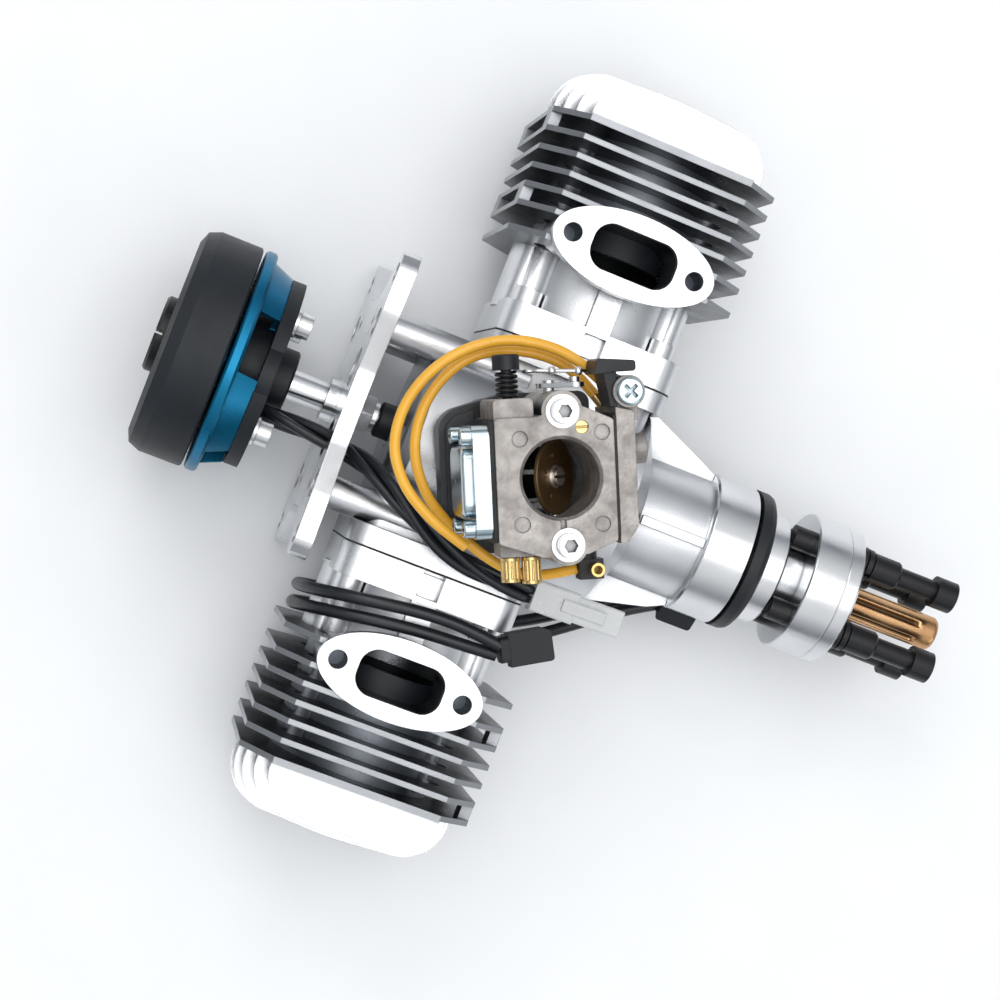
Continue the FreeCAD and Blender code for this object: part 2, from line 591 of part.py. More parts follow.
def stator_core():
    """Twelve-tooth laminated stator."""
    ring = rod(13.0, (-44.0, 0, 0), (-34.0, 0, 0))
    tooth = box((-44.0, -34.0), (12, 23.2), (-1.6, 1.6))
    shoe = rod(24.2, (-44, 0, 0), (-34, 0, 0)).cut(rod(22.6, (-45, 0, 0), (-33, 0, 0)))
    shoe = shoe.common(box((-44.0, -34.0), (20, 26), (-4.6, 4.6)))
    body = union([ring] + around(tooth, 12) + around(shoe, 12))
    return body.cut(rod(8.5, (-46, 0, 0), (-30, 0, 0)))


def stator_windings():
    coil = box((-45.4, -32.9), (13.8, 22.0), (-3.0, 3.0)).cut(box((-44.0, -34.0), (13, 23), (-1.6, 1.6)))
    return Part.makeCompound(around(coil, 12))


def rotor_drum():
    """Closed-ended bell with a rounded rear corner, on the rear shaft."""
    outer = turned([(DRUM_X0, 0), (DRUM_X0, DRUM_R - 4.5), (DRUM_X0 + 1.3, DRUM_R - 1.3), (DRUM_X0 + 4.5, DRUM_R),
                    (DRUM_X1 - 0.5, DRUM_R), (DRUM_X1, DRUM_R - 0.5), (DRUM_X1, 0)])
    hollow = rod(27.6, (DRUM_X0 + 2.8, 0, 0), (0, 0, 0))
    hub = rod(5.5, (DRUM_X0 + 1, 0, 0), (-36.5, 0, 0))
    body = outer.cut(hollow).fuse(hub)
    return body.cut(rod(REAR_SHAFT_R, (-45.5, 0, 0), (0, 0, 0))).removeSplitter()


def rotor_magnets():
    ring = rod(27.6, (-45.2, 0, 0), (-33.6, 0, 0)).cut(rod(25.0, (-46, 0, 0), (-33, 0, 0)))
    magnet = ring.common(box((-45.2, -33.6), (20, 30), (-4.9, 4.9)))
    return Part.makeCompound(around(magnet, 14))


def rotor_nut():
    nut = turned([(-51.3, 0), (-51.3, 9.7), (-50.6, 10.4), (DRUM_X0, 10.4), (DRUM_X0, 0)])
    return nut.cut(box((-52, -49.3), (-0.55, 0.55), (-12, 12)))


# ---- intake and carburettor ---------------------------------------------------------
def intake_block():
    """Moulded spacer under the carburettor, wider on the metering side."""
    layers = []
    for inset, low, high in ((0, 32.6, 41.6), (1.4, 41.6, BLOCK_TOP_Z)):
        u0, u1, v0, v1 = -24.6 + inset, 14.2 - inset, 20.6 - inset, 16.4 - inset
        pts = [(u0, -v1, low), (-8, -v0, low), (u1, -v0, low), (u1, v0, low), (-8, v0, low), (u0, v1, low)]
        layers.append(plate(pts, [6.5 - inset, 8, 3, 3, 8, 6.5 - inset], (0, 0, high - low)))
    body = union(layers)
    body = body.cut(rod(THROAT_R, (0, 0, 30), (0, 0, 50)))
    for v in (-CARB_SCREW_V, CARB_SCREW_V):
        body = body.cut(rod(2.4, (CARB_SCREW_U, v, 30), (CARB_SCREW_U, v, 50)))
    return in_carb(body)


def reed_valve():
    """Reed plate with its two-petal cage hanging into the intake passage."""
    pts = [(-15.5, -19.5, PAD_TOP_Z), (14, -19.5, PAD_TOP_Z), (14, 19.5, PAD_TOP_Z), (-15.5, 19.5, PAD_TOP_Z)]
    body = plate(pts, 4, (0, 0, 32.6 - PAD_TOP_Z)).cut(rod(THROAT_R - 1.6, (0, 0, 20), (0, 0, 40)))
    roof = [(0, -8.0, PAD_TOP_Z), (0, 8.0, PAD_TOP_Z), (0, 1.2, 26.6), (0, -1.2, 26.6)]
    cage = plate(roof, 0, (8, 0, 0))
    cage.translate(V(-4, 0, 0))
    inside = [(0, -6.8, PAD_TOP_Z), (0, 6.8, PAD_TOP_Z), (0, 0.6, 27.4), (0, -0.6, 27.4)]
    hollow = plate(inside, 0, (6, 0, 0))
    hollow.translate(V(-3, 0, 0))
    body = union([body, cage]).cut(hollow)
    for v in (-CARB_SCREW_V, CARB_SCREW_V):
        body = body.cut(rod(2.4, (CARB_SCREW_U, v, 20), (CARB_SCREW_U, v, 50)))
    return in_carb(body)


def carb_gasket():
    pts = [(-15.7, -15, BLOCK_TOP_Z), (-5, -19, BLOCK_TOP_Z), (6, -19, BLOCK_TOP_Z), (13.2, -15.6, BLOCK_TOP_Z),
           (13.2, 13.6, BLOCK_TOP_Z), (4, 18.5, BLOCK_TOP_Z), (-15.7, 18.5, BLOCK_TOP_Z)]
    body = plate(pts, 1.5, (0, 0, CARB_BASE_Z - BLOCK_TOP_Z)).cut(rod(THROAT_R, (0, 0, 40), (0, 0, 50)))
    for v in (-CARB_SCREW_V, CARB_SCREW_V):
        body = body.cut(rod(2.4, (CARB_SCREW_U, v, 40), (CARB_SCREW_U, v, 50)))
    return in_carb(body)


def carb_body():
    """Die-cast body with screw bosses, an idle-screw block and a bored throat."""
    z0 = CARB_BASE_Z
    depth = CARB_TOP_Z - z0
    pts = [(-15.7, -15, z0), (-5, -18.8, z0), (5.8, -18.4, z0), (13.2, -15.6, z0), (13.2, 13.6, z0), (4.5, 17.6, z0),
           (-5.5, 14.9, z0), (-15.7, 14.9, z0)]
    body = plate(pts, [1, 2, 1.5, 1, 1, 2, 1, 1], (0, 0, depth))
    bosses = [rod(5.0, (CARB_SCREW_U, v, z0), (CARB_SCREW_U, v, CARB_TOP_Z)) for v in (-CARB_SCREW_V, CARB_SCREW_V)]
    idle_block = plate([(-15.7, 13, 54), (-6, 13, 54), (-6, 19.5, 54), (-15.7, 19.5, 54)], [0, 0, 1.2, 1.2], (0, 0, 20.4))
    needle_pad = box((-14, -3), (-19.0, -14), (55, 65))
    body = union([body, idle_block, needle_pad] + bosses)
    pads = [rod(1.9, (u, v, CARB_TOP_Z - 0.4), (u, v, CARB_TOP_Z + 1)) for u, v in ((-9.9, -10.6), (10.3, 10.6), (9.6, -11.4), (-9.7, 9.8))]
    for pad in pads:
        body = body.cut(pad)
    body = body.cut(rod(THROAT_R, (0, 0, 40), (0, 0, 80)))
    throat_mouth = Part.makeCone(THROAT_R, THROAT_R + 0.8, 0.8, V(0, 0, CARB_TOP_Z - 0.8), Z)
    body = body.cut(throat_mouth)
    for v in (-CARB_SCREW_V, CARB_SCREW_V):
        body = body.cut(rod(2.4, (CARB_SCREW_U, v, 40), (CARB_SCREW_U, v, 80)))
    body = body.cut(rod(1.55, (0, -25, THROTTLE_Z), (0, 25, THROTTLE_Z)))
    body = body.cut(box((-0.7, 0.7), (-12.2, -9.8), (CARB_TOP_Z - 0.8, 80)))
    body = body.cut(rod(1.35, (-10.8, 10, 66), (-10.8, 25, 66)))
    body = body.cut(rod(1.6, (5.5, 12.0, CARB_TOP_Z - 2.2), (5.5, 12.0, 80)))
    for u in (-10.9, -5.7):
        body = body.cut(rod(1.3, (u, -25, 60), (u, -9, 60)))
    body = body.cut(rod(1.4, (8.6, -25, 56), (8.6, -14, 56)))
    return in_carb(body)


def carb_screws():
    """Cap screws in the open face and, below the throttle shaft, the studs from the crankcase."""
    pieces = []
    for v in (-CARB_SCREW_V, CARB_SCREW_V):
        screw_tip = (CARB_SCREW_U, v, THROTTLE_Z + 3.0)
        screw = cap_screw(2.4, 2.9, 3.6, 3.0, screw_tip, (CARB_SCREW_U, v, CARB_TOP_Z + 0.8))
        washer = rod(4.1, (CARB_SCREW_U, v, CARB_TOP_Z), (CARB_SCREW_U, v, CARB_TOP_Z + 0.8))
        pieces.append(union([screw, washer]))
        pieces.append(rod(2.4, (CARB_SCREW_U, v, 26), (CARB_SCREW_U, v, THROTTLE_Z - 3.0)))
    return in_carb(Part.makeCompound(pieces))


def metering_gasket():
    pts = [(-15.7, -14.8, 47.5), (-15.7, 14.8, 47.5), (-15.7, 14.8, 74.2), (-15.7, -14.8, 74.2)]
    return in_carb(plate(pts, 1.5, (-1.0, 0, 0)))


def metering_cover():
    """Pressed cover with a raised centre, four screw dimples and a vent."""
    pts = [(-16.7, -13.8, 49.6), (-16.7, 13.4, 49.6), (-16.7, 13.4, 73.6), (-16.7, -13.8, 73.6)]
    body = plate(pts, 3, (COVER_U + 16.7, 0, 0))
    pts = [(COVER_U, -9.0, 52), (COVER_U, 8.6, 52), (COVER_U, 8.6, 71.4), (COVER_U, -9.0, 71.4)]
    raised = plate(pts, 4, (COVER_TOP_U - COVER_U, 0, 0))
    raised = raised.makeFillet(1.2, [edge for edge in raised.Edges if abs(edge.CenterOfMass.x - COVER_TOP_U) < 0.01])
    body = union([body, raised])
    body = body.cut(rod(0.8, (-25, 0, 61), (-18, 0, 61)))
    for v, z in metering_points():
        body = body.cut(rod(1.25, (-25, v, z), (-10, v, z)))
    return in_carb(body)


def metering_points():
    return [(v, z) for v in (-11.3, 10.9) for z in (52.8, 70.2)]


def metering_screws():
    screws = []
    for v, z in metering_points():
        top = softened(rod(2.1, (COVER_U, v, z), (COVER_TOP_U, v, z)), 0.5, V(COVER_TOP_U, v, z))
        cross = box((COVER_TOP_U - 1, COVER_TOP_U + 0.8), (v - 0.35, v + 0.35), (z - 1.4, z + 1.4))
        cross = cross.fuse(box((COVER_TOP_U - 1, COVER_TOP_U + 0.8), (v - 1.4, v + 1.4), (z - 0.35, z + 0.35)))
        screws.append(top.fuse(rod(1.25, (-16.7, v, z), (COVER_U, v, z))).cut(cross).removeSplitter())
    return in_carb(Part.makeCompound(screws))


def pump_gasket():
    pts = [(13.2, -15.0, 48), (13.2, 15.0, 48), (13.2, 15.0, 74.6), (13.2, -15.0, 74.6)]
    return in_carb(plate(pts, 1.5, (0.8, 0, 0)))


def pump_cover():
    """Fuel pump cover, with the bracket post at its upper end and the inlet knob."""
    z0 = 50.0
    pts = [(14.0, -16.4, z0), (15.6, -16.4, z0), (18.6, -12.4, z0), (18.6, 15.2, z0), (14.0, 16.4, z0)]
    body = plate(pts, [0, 1.5, 2, 1, 0], (0, 0, 24.2))
    rib = box((17.0, 19.2), (-9, 12), (56, 68))
    post = rod(3.9, (17.3, 20.0, 62), (17.3, 20.0, 75.4))
    arm = box((14.6, 19.6), (13, 19), (62, 73.5))
    knob = rod(3.7, (18.5, 6.0, 68.0), (22.0, 6.0, 68.0))
    outlets = box((14.4, 19.0), (13, 20.4), (52.5, 62.5))
    body = union([body, rib, post, arm, knob, outlets])
    body = body.cut(rod(1.6, (17.3, 20.0, 66), (17.3, 20.0, 80)))
    body = in_carb(body.cut(rod(0.9, (20, 6.0, 68), (23, 6.0, 68))))
    for name in ("fuel_hose", "pulse_hose"):
        body = body.cut(hose_spigot(CORDS[name][1]))
    return body


def pump_screw():
    """Cross-recessed screw on the bracket post."""
    shank = rod(1.6, (17.3, 20.0, 67), (17.3, 20.0, 75.4))
    head = rod(3.4, (17.3, 20.0, 75.4), (17.3, 20.0, 77.6))
    body = union([shank, softened(head, 0.8, V(17.3, 20.0, 77.6))])
    for angle in (45, 135):
        slot = box((-0.45, 0.45), (-2.0, 2.0), (76.4, 78))
        slot.rotate(V(0, 0, 0), Z, angle)
        slot.translate(V(17.3, 20.0, 0))
        body = body.cut(slot)
    return in_carb(body)


def lever_bracket():
    """Moulded cable bracket over the throttle lever."""
    pts = [(9.2, 24.4, 63), (13.6, 24.8, 63), (19.2, 24.8, 63), (19.2, 27.4, 63), (9.8, 28.2, 63)]
    bar = plate(pts, [0, 0, 0.8, 0.8, 0.8], (0, 0, 12))
    leg = plate([(11.4, 24.9, 63), (12.9, 16.5, 63), (14.6, 16.5, 63), (14.6, 24.9, 63)], 0, (0, 0, 11))
    return in_carb(union([bar, leg]).cut(rod(3.9, (17.3, 20.0, 60), (17.3, 20.0, 80))))


def brass_jet():
    jet = rod(1.6, (5.5, 12.0, CARB_TOP_Z - 2.2), (5.5, 12.0, CARB_TOP_Z - 0.4))
    jet = jet.cut(box((3.5, 7.5), (11.7, 12.3), (CARB_TOP_Z - 1.0, 80)))
    return in_carb(jet)


def fuel_nipple():
    """Brass fuel spigot pointing away from the crankcase, on an elbow."""
    tube = rod(1.75, (10.2, -23.4, 59), (10.2, -23.4, 64))
    return in_carb(tube.cut(rod(1.05, (10.2, -23.4, 59.5), (10.2, -23.4, 65))))


def hose_spigot(points):
    """Short brass spigot from the pump's outlet block to the start of a hose."""
    start, ahead = V(*points[0]), V(*points[1])
    back = (start - ahead).normalize()
    return rod(1.3, start, start + back * 3.6)


def brass_fittings():
    spigots = [hose_spigot(CORDS[name][1]) for name in ("fuel_hose", "pulse_hose")]
    return Part.makeCompound([brass_jet(), fuel_nipple()] + spigots)


def fuel_elbow():
    stem = rod(1.4, (8.6, -15, 56), (8.6, -20, 56))
    body = union([stem, rod(2.9, (8.6, -18.7, 56), (8.6, -22.0, 56)), box((6.6, 12.6), (-26, -21.0), (53.0, 59.0))])
    return in_carb(body)


def needle(u, head_start, head_length):
    """Mixture needle with a knurled head, turning in the side of the body."""
    shank = rod(1.25, (u, -10, 60), (u, head_start - 0.5, 60))
    head = rod(NEEDLE_R, (u, head_start, 60), (u, head_start - head_length, 60))
    for i in range(12):
        angle = math.radians(30 * i)
        x, z = u + (NEEDLE_R + 0.1) * math.cos(angle), 60 + (NEEDLE_R + 0.1) * math.sin(angle)
        head = head.cut(rod(0.32, (x, head_start - head_length + 0.8, z), (x, head_start - 0.8, z)))
    head = head.cut(box((u - 3, u + 3), (head_start - head_length - 1, head_start - head_length + 0.8), (59.6, 60.4)))
    return in_carb(union([shank, head]))


def tilted(shape):
    """Turns a throttle piece about the throttle shaft to its rest angle."""
    turned_piece = shape.copy()
    turned_piece.rotate(V(0, 0, THROTTLE_Z), Y, THROTTLE_TILT)
    return in_carb(turned_piece)


def throttle_shaft():
    """Shaft with a flat for the butterfly and a stub for the lever."""
    shaft = rod(1.5, (0, -19.5, THROTTLE_Z), (0, 23.5, THROTTLE_Z))
    flat = box((-3, 3), (-9.3, 9.3), (THROTTLE_Z, THROTTLE_Z + 3))
    shaft = shaft.cut(flat).cut(rod(0.8, (0, 0, 60), (0, 0, 70)))
    return tilted(shaft)


def throttle_plate():
    disc = rod(9.15, (0, 0, THROTTLE_Z), (0, 0, THROTTLE_Z + 0.9))
    disc = disc.cut(rod(0.8, (0, 0, 60), (0, 0, 70)))
    for u, v in ((-4.6, 1.6), (-1.6, 5.2), (-3.2, -4.4)):
        disc = disc.cut(rod(0.65, (u, v, 60), (u, v, 70)))
    disc = disc.cut(box((-10, 10), (9.0, 12), (60, 70))).cut(box((-10, 10), (-12, -9.0), (60, 70)))
    return tilted(disc)


def throttle_screw():
    z = THROTTLE_Z + 0.9
    head = rod(2.3, (0, 0, z), (0, 0, z + 1.4)).cut(box((-3, 3), (-0.3, 0.3), (z + 0.8, z + 3)))
    return tilted(union([head, rod(0.8, (0, 0, THROTTLE_Z - 1.2), (0, 0, z))]))


def throttle_lever():
    """Flat lever on the shaft's upper end, with a cable swivel."""
    pts = [(-3.0, 21.6, THROTTLE_Z - 3.2), (3.0, 21.6, THROTTLE_Z - 3.2), (2.0, 21.6, THROTTLE_Z + 9.5),
           (-2.0, 21.6, THROTTLE_Z + 9.5)]
    lever = plate(pts, [2.6, 2.6, 1.9, 1.9], (0, 1.2, 0)).cut(rod(1.5, (0, 20, THROTTLE_Z), (0, 25, THROTTLE_Z)))
    swivel = rod(1.3, (0, 22.8, THROTTLE_Z + 7.2), (0, 24.1, THROTTLE_Z + 7.2))
    lever = union([lever, swivel])
    return tilted(lever)


def idle_screw():
    shank = rod(1.3, (-10.8, 11, 66), (-10.8, 27, 66))
    cap = rod(3.3, (-10.8, 26.4, 66), (-10.8, 30.2, 66))
    cap = softened(cap, 0.6, V(-10.8, 30.2, 66))
    return in_carb(union([shank, cap]))


def idle_spring():
    """Spring coils, each a ring of diamond section."""
    coils = []
    for i in range(5):
        at = 20.15 + 1.4 * i
        coils.append(turned([(at - 0.45, 2.45), (at, 2.9), (at + 0.45, 2.45), (at, 2.0)], (-10.8, 0, 66), Y))
    return in_carb(Part.makeCompound(coils))


# ---- hoses and wires ----------------------------------------------------------------
def cord_path(points):
    """Straight runs joined by tangent arcs, each as large as its two runs allow."""
    pts = [V(*p) for p in points]
    edges = []
    radii = []
    at = pts[0]
    for before, corner, after in zip(pts, pts[1:], pts[2:]):
        back = before - corner
        ahead = after - corner
        turn = math.pi - back.getAngle(ahead)
        reach = 0.45 * min(back.Length, ahead.Length)
        radius = reach / math.tan(turn / 2)
        to_prev = V(back).normalize()
        to_next = V(ahead).normalize()
        first = corner + to_prev * reach
        last = corner + to_next * reach
        middle = (to_prev + to_next).normalize()
        nearest = corner + middle * (radius / math.cos(turn / 2) - radius)
        edges.append(Part.LineSegment(at, first).toShape())
        edges.append(Part.Arc(first, nearest, last).toShape())
        radii.append(radius)
        at = last
    edges.append(Part.LineSegment(at, pts[-1]).toShape())
    return Part.Wire(edges), radii


def cord(name, points, diameter):
    path, radii = cord_path(points)
    start = V(*points[0])
    ahead = (V(*points[1]) - start).normalize()
    ring = Part.Wire(Part.Circle(start, ahead, diameter / 2).toShape())
    tube = path.makePipeShell([ring], True, True)
    expected = math.pi * diameter ** 2 / 4 * path.Length
    print("%s: length %.1f mm, volume %.4f of section x length, radii %s" % (
        name, path.Length, tube.Volume / expected, " ".join("%.1f" % r for r in radii)))
    return tube


def wire_connector():
    """White two-part connector shell on the end of the starter wires."""
    start, before = V(*CORDS["phase_wires"][1][-1]), V(*CORDS["phase_wires"][1][-2])
    shell = plate([(0, -4.2, -2.6), (0, 4.2, -2.6), (0, 4.2, 2.6), (0, -4.2, 2.6)], 0.8, (12, 0, 0))
    front = plate([(12, -3.6, -2.2), (12, 3.6, -2.2), (12, 3.6, 2.2), (12, -3.6, 2.2)], 0.6, (13, 0, 0))
    latch = box((8, 20), (-1.6, 1.6), (2.0, 3.4))
    for y in (-2.4, 0, 2.4):
        front = front.cut(box((20, 26), (y - 0.8, y + 0.8), (-1.2, 1.2)))
    return on_end(union([shell, front, latch]), start, start - before)


def sensor_plug():
    """Flat three-pin plug on the sensor lead, with a stepped boot."""
    start = V(*CORDS["sensor_lead_a"][1][-1]) - V(0.6, 0, 1.2)
    boot = plate([(0, -4.8, -2.9), (0, 2.2, -2.9), (0, 2.2, 2.9), (0, -4.8, 2.9)], 1.4, (2.4, 0, 0))
    shell = plate([(2.4, -6.2, -2.1), (14.2, -6.2, -2.1), (14.2, 1.6, -2.1), (12.0, 2.8, -2.1), (2.4, 2.8, -2.1)],
                  [0, 1.0, 0.5, 0.5, 0], (0, 0, 4.2))
    for y in (-4.2, -1.7, 0.8):
        shell = shell.cut(box((9, 15), (y - 0.45, y + 0.45), (-0.5, 0.5)))
    return on_end(union([boot, shell]), start, V(1, 0.56, -0.12))


def on_end(shape, point, direction):
    """Moves a shape built along +X from the origin onto the end of a cord."""
    placed = shape.copy()
    flat = V(direction.x, direction.y, 0)
    placed.rotate(V(0, 0, 0), Y, math.degrees(math.atan2(-direction.z, flat.Length)))
    placed.rotate(V(0, 0, 0), Z, math.degrees(math.atan2(direction.y, direction.x)))
    placed.translate(point)
    return placed


CORDS = {
    "fuel_hose": (2.7, [(54.5, 26.5, 60), (46.6, 29.6, 60.4), (37, 29.9, 60.1), (27.2, 27.2, 59.6),
                        (18.6, 20.6, 58.8), (13.2, 12, 58.1), (10.9, 2.8, 57.6), (12.2, -7, 57.2),
                        (18.2, -14.8, 56.8), (26, -19.4, 56.5), (32.2, -21.7, 56.4), (38.2, -23.3, 56.2)]),
    "pulse_hose": (2.7, [(54.5, 23.2, 56.2), (47.5, 27.2, 56), (38.4, 27.8, 55.7), (29.2, 25.4, 55.2),
                         (21.6, 20.2, 54.5), (17.2, 12, 53.7), (16, 2.8, 52.7), (18.2, -6.6, 51.6),
                         (24.6, -14.6, 50), (31.5, -18.7, 47.8), (38.6, -21.8, 46.6), (46.2, -24.3, 47.4),
                         (54.2, -25.2, 49.4), (61.3, -22.4, 52.4), (66.6, -18.3, 55.2)]),
    "phase_wires": (6.0, [(STARTER_PLATE_X1, -9.6, 7.4), (-7.6, -10, 11.2), (4.6, -10.6, 14.8), (13, -13.6, 25),
                          (22, -18.2, 30.8), (32.5, -24.2, 30.6), (43, -27.6, 29.8), (53.5, -29, 29.4),
                          (63.2, -28.8, 28.8)]),
    "sensor_lead_a": (3.4, [(106.2, -17.6, -15.0), (98, -21.5, -16.0), (87.5, -28.5, -18.4), (75.5, -37.0, -22.4),
                            (63.5, -43.2, -25.8), (51, -46.2, -27.2), (38.5, -47.2, -27.4), (27, -48.2, -26.2),
                            (17.6, -48.8, -21.8), (11, -49.2, -13.4), (8, -49.2, -3.2), (7.6, -48.8, 8),
                            (10, -48, 18.6), (17.6, -46.4, 26.4), (28.4, -44.6, 28.8), (39.6, -43.2, 29),
                            (50.4, -43, 29), (60.4, -44.4, 29.4)]),
    "sensor_lead_b": (3.4, [(106.2, -19.6, -11.9), (98, -24.2, -12.4), (87.5, -32.5, -14.6), (76, -41.6, -18.4),
                            (64, -48.0, -22.8), (51.5, -51.4, -25.6), (38, -52.6, -26.4), (25.6, -53.4, -25.4),
                            (16.2, -53.9, -21), (10.4, -54.2, -12.4), (8.2, -54.2, -2.4), (8.2, -53.8, 8),
                            (11.4, -52.6, 18), (19.4, -51, 24.8), (30, -49.2, 27.6), (41, -48, 28),
                            (51, -47.6, 27.8), (60.4, -47.1, 26.9)]),
}


# ---- assembly -----------------------------------------------------------------------
def build():
    casting = cylinder_casting()
    nodes = {
        "crankcase": crankcase(),
        "bearings": Part.makeCompound([main_bearing(19.8, 26.8), main_bearing(69, 75.8), main_bearing(94, 101),
                                       shaft_bearing()]),
        "sensor_ring": sensor_ring(),
        "hall_sensor": hall_sensor(),
        "cylinder_left": as_left(casting),
        "cylinder_right": as_right(casting),
        "base_gaskets": Part.makeCompound([as_left(base_gasket()), as_right(base_gasket())]),
        "base_screws_left": as_left(base_screws()),
        "base_screws_right": as_right(base_screws()),
        "spark_plugs": Part.makeCompound([as_left(spark_plug()), as_right(spark_plug())]),
        "plug_insulators": Part.makeCompound([as_left(plug_insulator()), as_right(plug_insulator())]),
        "piston_left": as_left(piston()),
        "piston_right": as_right(piston()),
        "mount_plate": mount_plate(),
        "plate_screws": plate_screws(),
        "centre_post": centre_post(),
        "post_nut": post_nut(),
        "shaft_seal": shaft_seal(),
        "starter_plate": starter_plate(),
        "stator_housing": stator_housing(),
        "starter_screws": starter_screws(),
        "stator_core": stator_core(),
        "stator_windings": stator_windings(),
        "rotor_drum": rotor_drum(),
        "rotor_magnets": rotor_magnets(),
        "rotor_nut": rotor_nut(),
        "crankshaft": crankshaft(),
        "prop_hub": prop_hub(),
        "magnet_band": magnet_band(),
        "prop_washer": prop_washer(),
        "prop_bolts": prop_bolts(),
        "bolt_collars": bolt_collars(),
        "centre_stud": centre_stud(),
        "intake_block": intake_block(),
        "reed_valve": reed_valve(),
        "carb_gasket": carb_gasket(),
        "carb_body": carb_body(),
        "carb_screws": carb_screws(),
        "metering_gasket": metering_gasket(),
        "metering_cover": metering_cover(),
        "cover_screws": Part.makeCompound([metering_screws(), pump_screw()]),
        "pump_gasket": pump_gasket(),
        "pump_cover": pump_cover(),
        "lever_bracket": lever_bracket(),
        "brass_fittings": brass_fittings(),
        "fuel_elbow": fuel_elbow(),
        "needle_low": needle(-10.9, -19.4, 6.0),
        "needle_high": needle(-5.7, -19.4, 6.6),
        "throttle_shaft": Part.makeCompound([throttle_shaft(), throttle_screw()]),
        "throttle_plate": throttle_plate(),
        "throttle_lever": throttle_lever(),
        "idle_screw": idle_screw(),
        "idle_spring": idle_spring(),
        "wire_connector": wire_connector(),
        "sensor_plug": sensor_plug(),
    }
    for name, (diameter, points) in CORDS.items():
        nodes[name] = cord(name, points, diameter)
    return nodes


for node, shape in build().items():
    shape.exportStep("parts/%s.step" % node)
    span = shape.BoundBox
    limits = (span.XMin, span.XMax, span.YMin, span.YMax, span.ZMin, span.ZMax)
    print("%-18s solids %2d valid %s volume %9.1f  x %7.1f %7.1f  y %7.1f %7.1f  z %7.1f %7.1f" % (
        (node, len(shape.Solids), shape.isValid(), shape.Volume) + limits))
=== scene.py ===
import json
import math

import bmesh
import bpy
from mathutils import Matrix, Vector


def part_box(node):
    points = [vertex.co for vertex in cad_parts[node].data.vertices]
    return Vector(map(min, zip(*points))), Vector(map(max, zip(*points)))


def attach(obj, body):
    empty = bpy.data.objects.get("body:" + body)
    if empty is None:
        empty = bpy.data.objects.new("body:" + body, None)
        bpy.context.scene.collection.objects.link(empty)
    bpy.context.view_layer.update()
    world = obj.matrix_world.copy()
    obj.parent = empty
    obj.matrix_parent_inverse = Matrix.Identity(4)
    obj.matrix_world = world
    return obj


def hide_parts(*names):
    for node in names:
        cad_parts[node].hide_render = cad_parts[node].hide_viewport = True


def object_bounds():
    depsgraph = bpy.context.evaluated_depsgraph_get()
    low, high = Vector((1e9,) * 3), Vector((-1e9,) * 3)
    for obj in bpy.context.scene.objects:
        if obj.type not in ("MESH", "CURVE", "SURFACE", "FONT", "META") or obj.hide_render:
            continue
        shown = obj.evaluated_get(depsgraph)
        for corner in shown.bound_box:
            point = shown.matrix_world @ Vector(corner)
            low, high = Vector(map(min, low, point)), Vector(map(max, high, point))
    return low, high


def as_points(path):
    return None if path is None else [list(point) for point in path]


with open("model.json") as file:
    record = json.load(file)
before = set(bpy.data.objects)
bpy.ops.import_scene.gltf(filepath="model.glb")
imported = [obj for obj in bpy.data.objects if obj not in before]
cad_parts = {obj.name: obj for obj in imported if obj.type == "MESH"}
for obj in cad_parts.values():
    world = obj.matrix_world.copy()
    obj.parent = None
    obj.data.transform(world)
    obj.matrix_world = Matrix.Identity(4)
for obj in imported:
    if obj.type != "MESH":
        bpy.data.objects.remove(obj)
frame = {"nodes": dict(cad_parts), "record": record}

MM = 0.001
CAD_BOX = [list(v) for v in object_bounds()]
NODES = frame["nodes"]
BODIES = frame["record"]["behaviour"]["bodies"]
BODY_OF = {node: body for body, nodes in BODIES.items() for node in nodes}
SCENE = bpy.context.scene


# ---- camera -------------------------------------------------------------------------
ROLL, TILT_X, TILT_Y = (math.radians(angle) for angle in (20.91, -2.52, 9.21))
CAMERA_PLACE = (-46.5, -18.4, 584.5)
LENS, SENSOR_WIDTH, NEAR = 78.34, 36, 0.02


def turn_pair(first, second, angle):
    """Turns two axes in their own plane, the first one towards the second."""
    cos, sin = math.cos(angle), math.sin(angle)
    return first * cos + second * sin, second * cos - first * sin


def aim_camera():
    right = Vector((math.cos(ROLL), math.sin(ROLL), 0))
    up = Vector((-math.sin(ROLL), math.cos(ROLL), 0))
    ahead = Vector((0, 0, -1))
    ahead, up = turn_pair(ahead, up, TILT_X)
    ahead, right = turn_pair(ahead, right, TILT_Y)
    data = bpy.data.cameras.new("camera")
    data.sensor_width = SENSOR_WIDTH
    data.lens = LENS
    data.clip_start = NEAR
    camera = bpy.data.objects.new("camera", data)
    matrix = Matrix((right, up, -ahead)).transposed().to_4x4()
    matrix.translation = Vector(CAMERA_PLACE) * MM
    camera.matrix_world = matrix
    SCENE.collection.objects.link(camera)
    SCENE.camera = camera


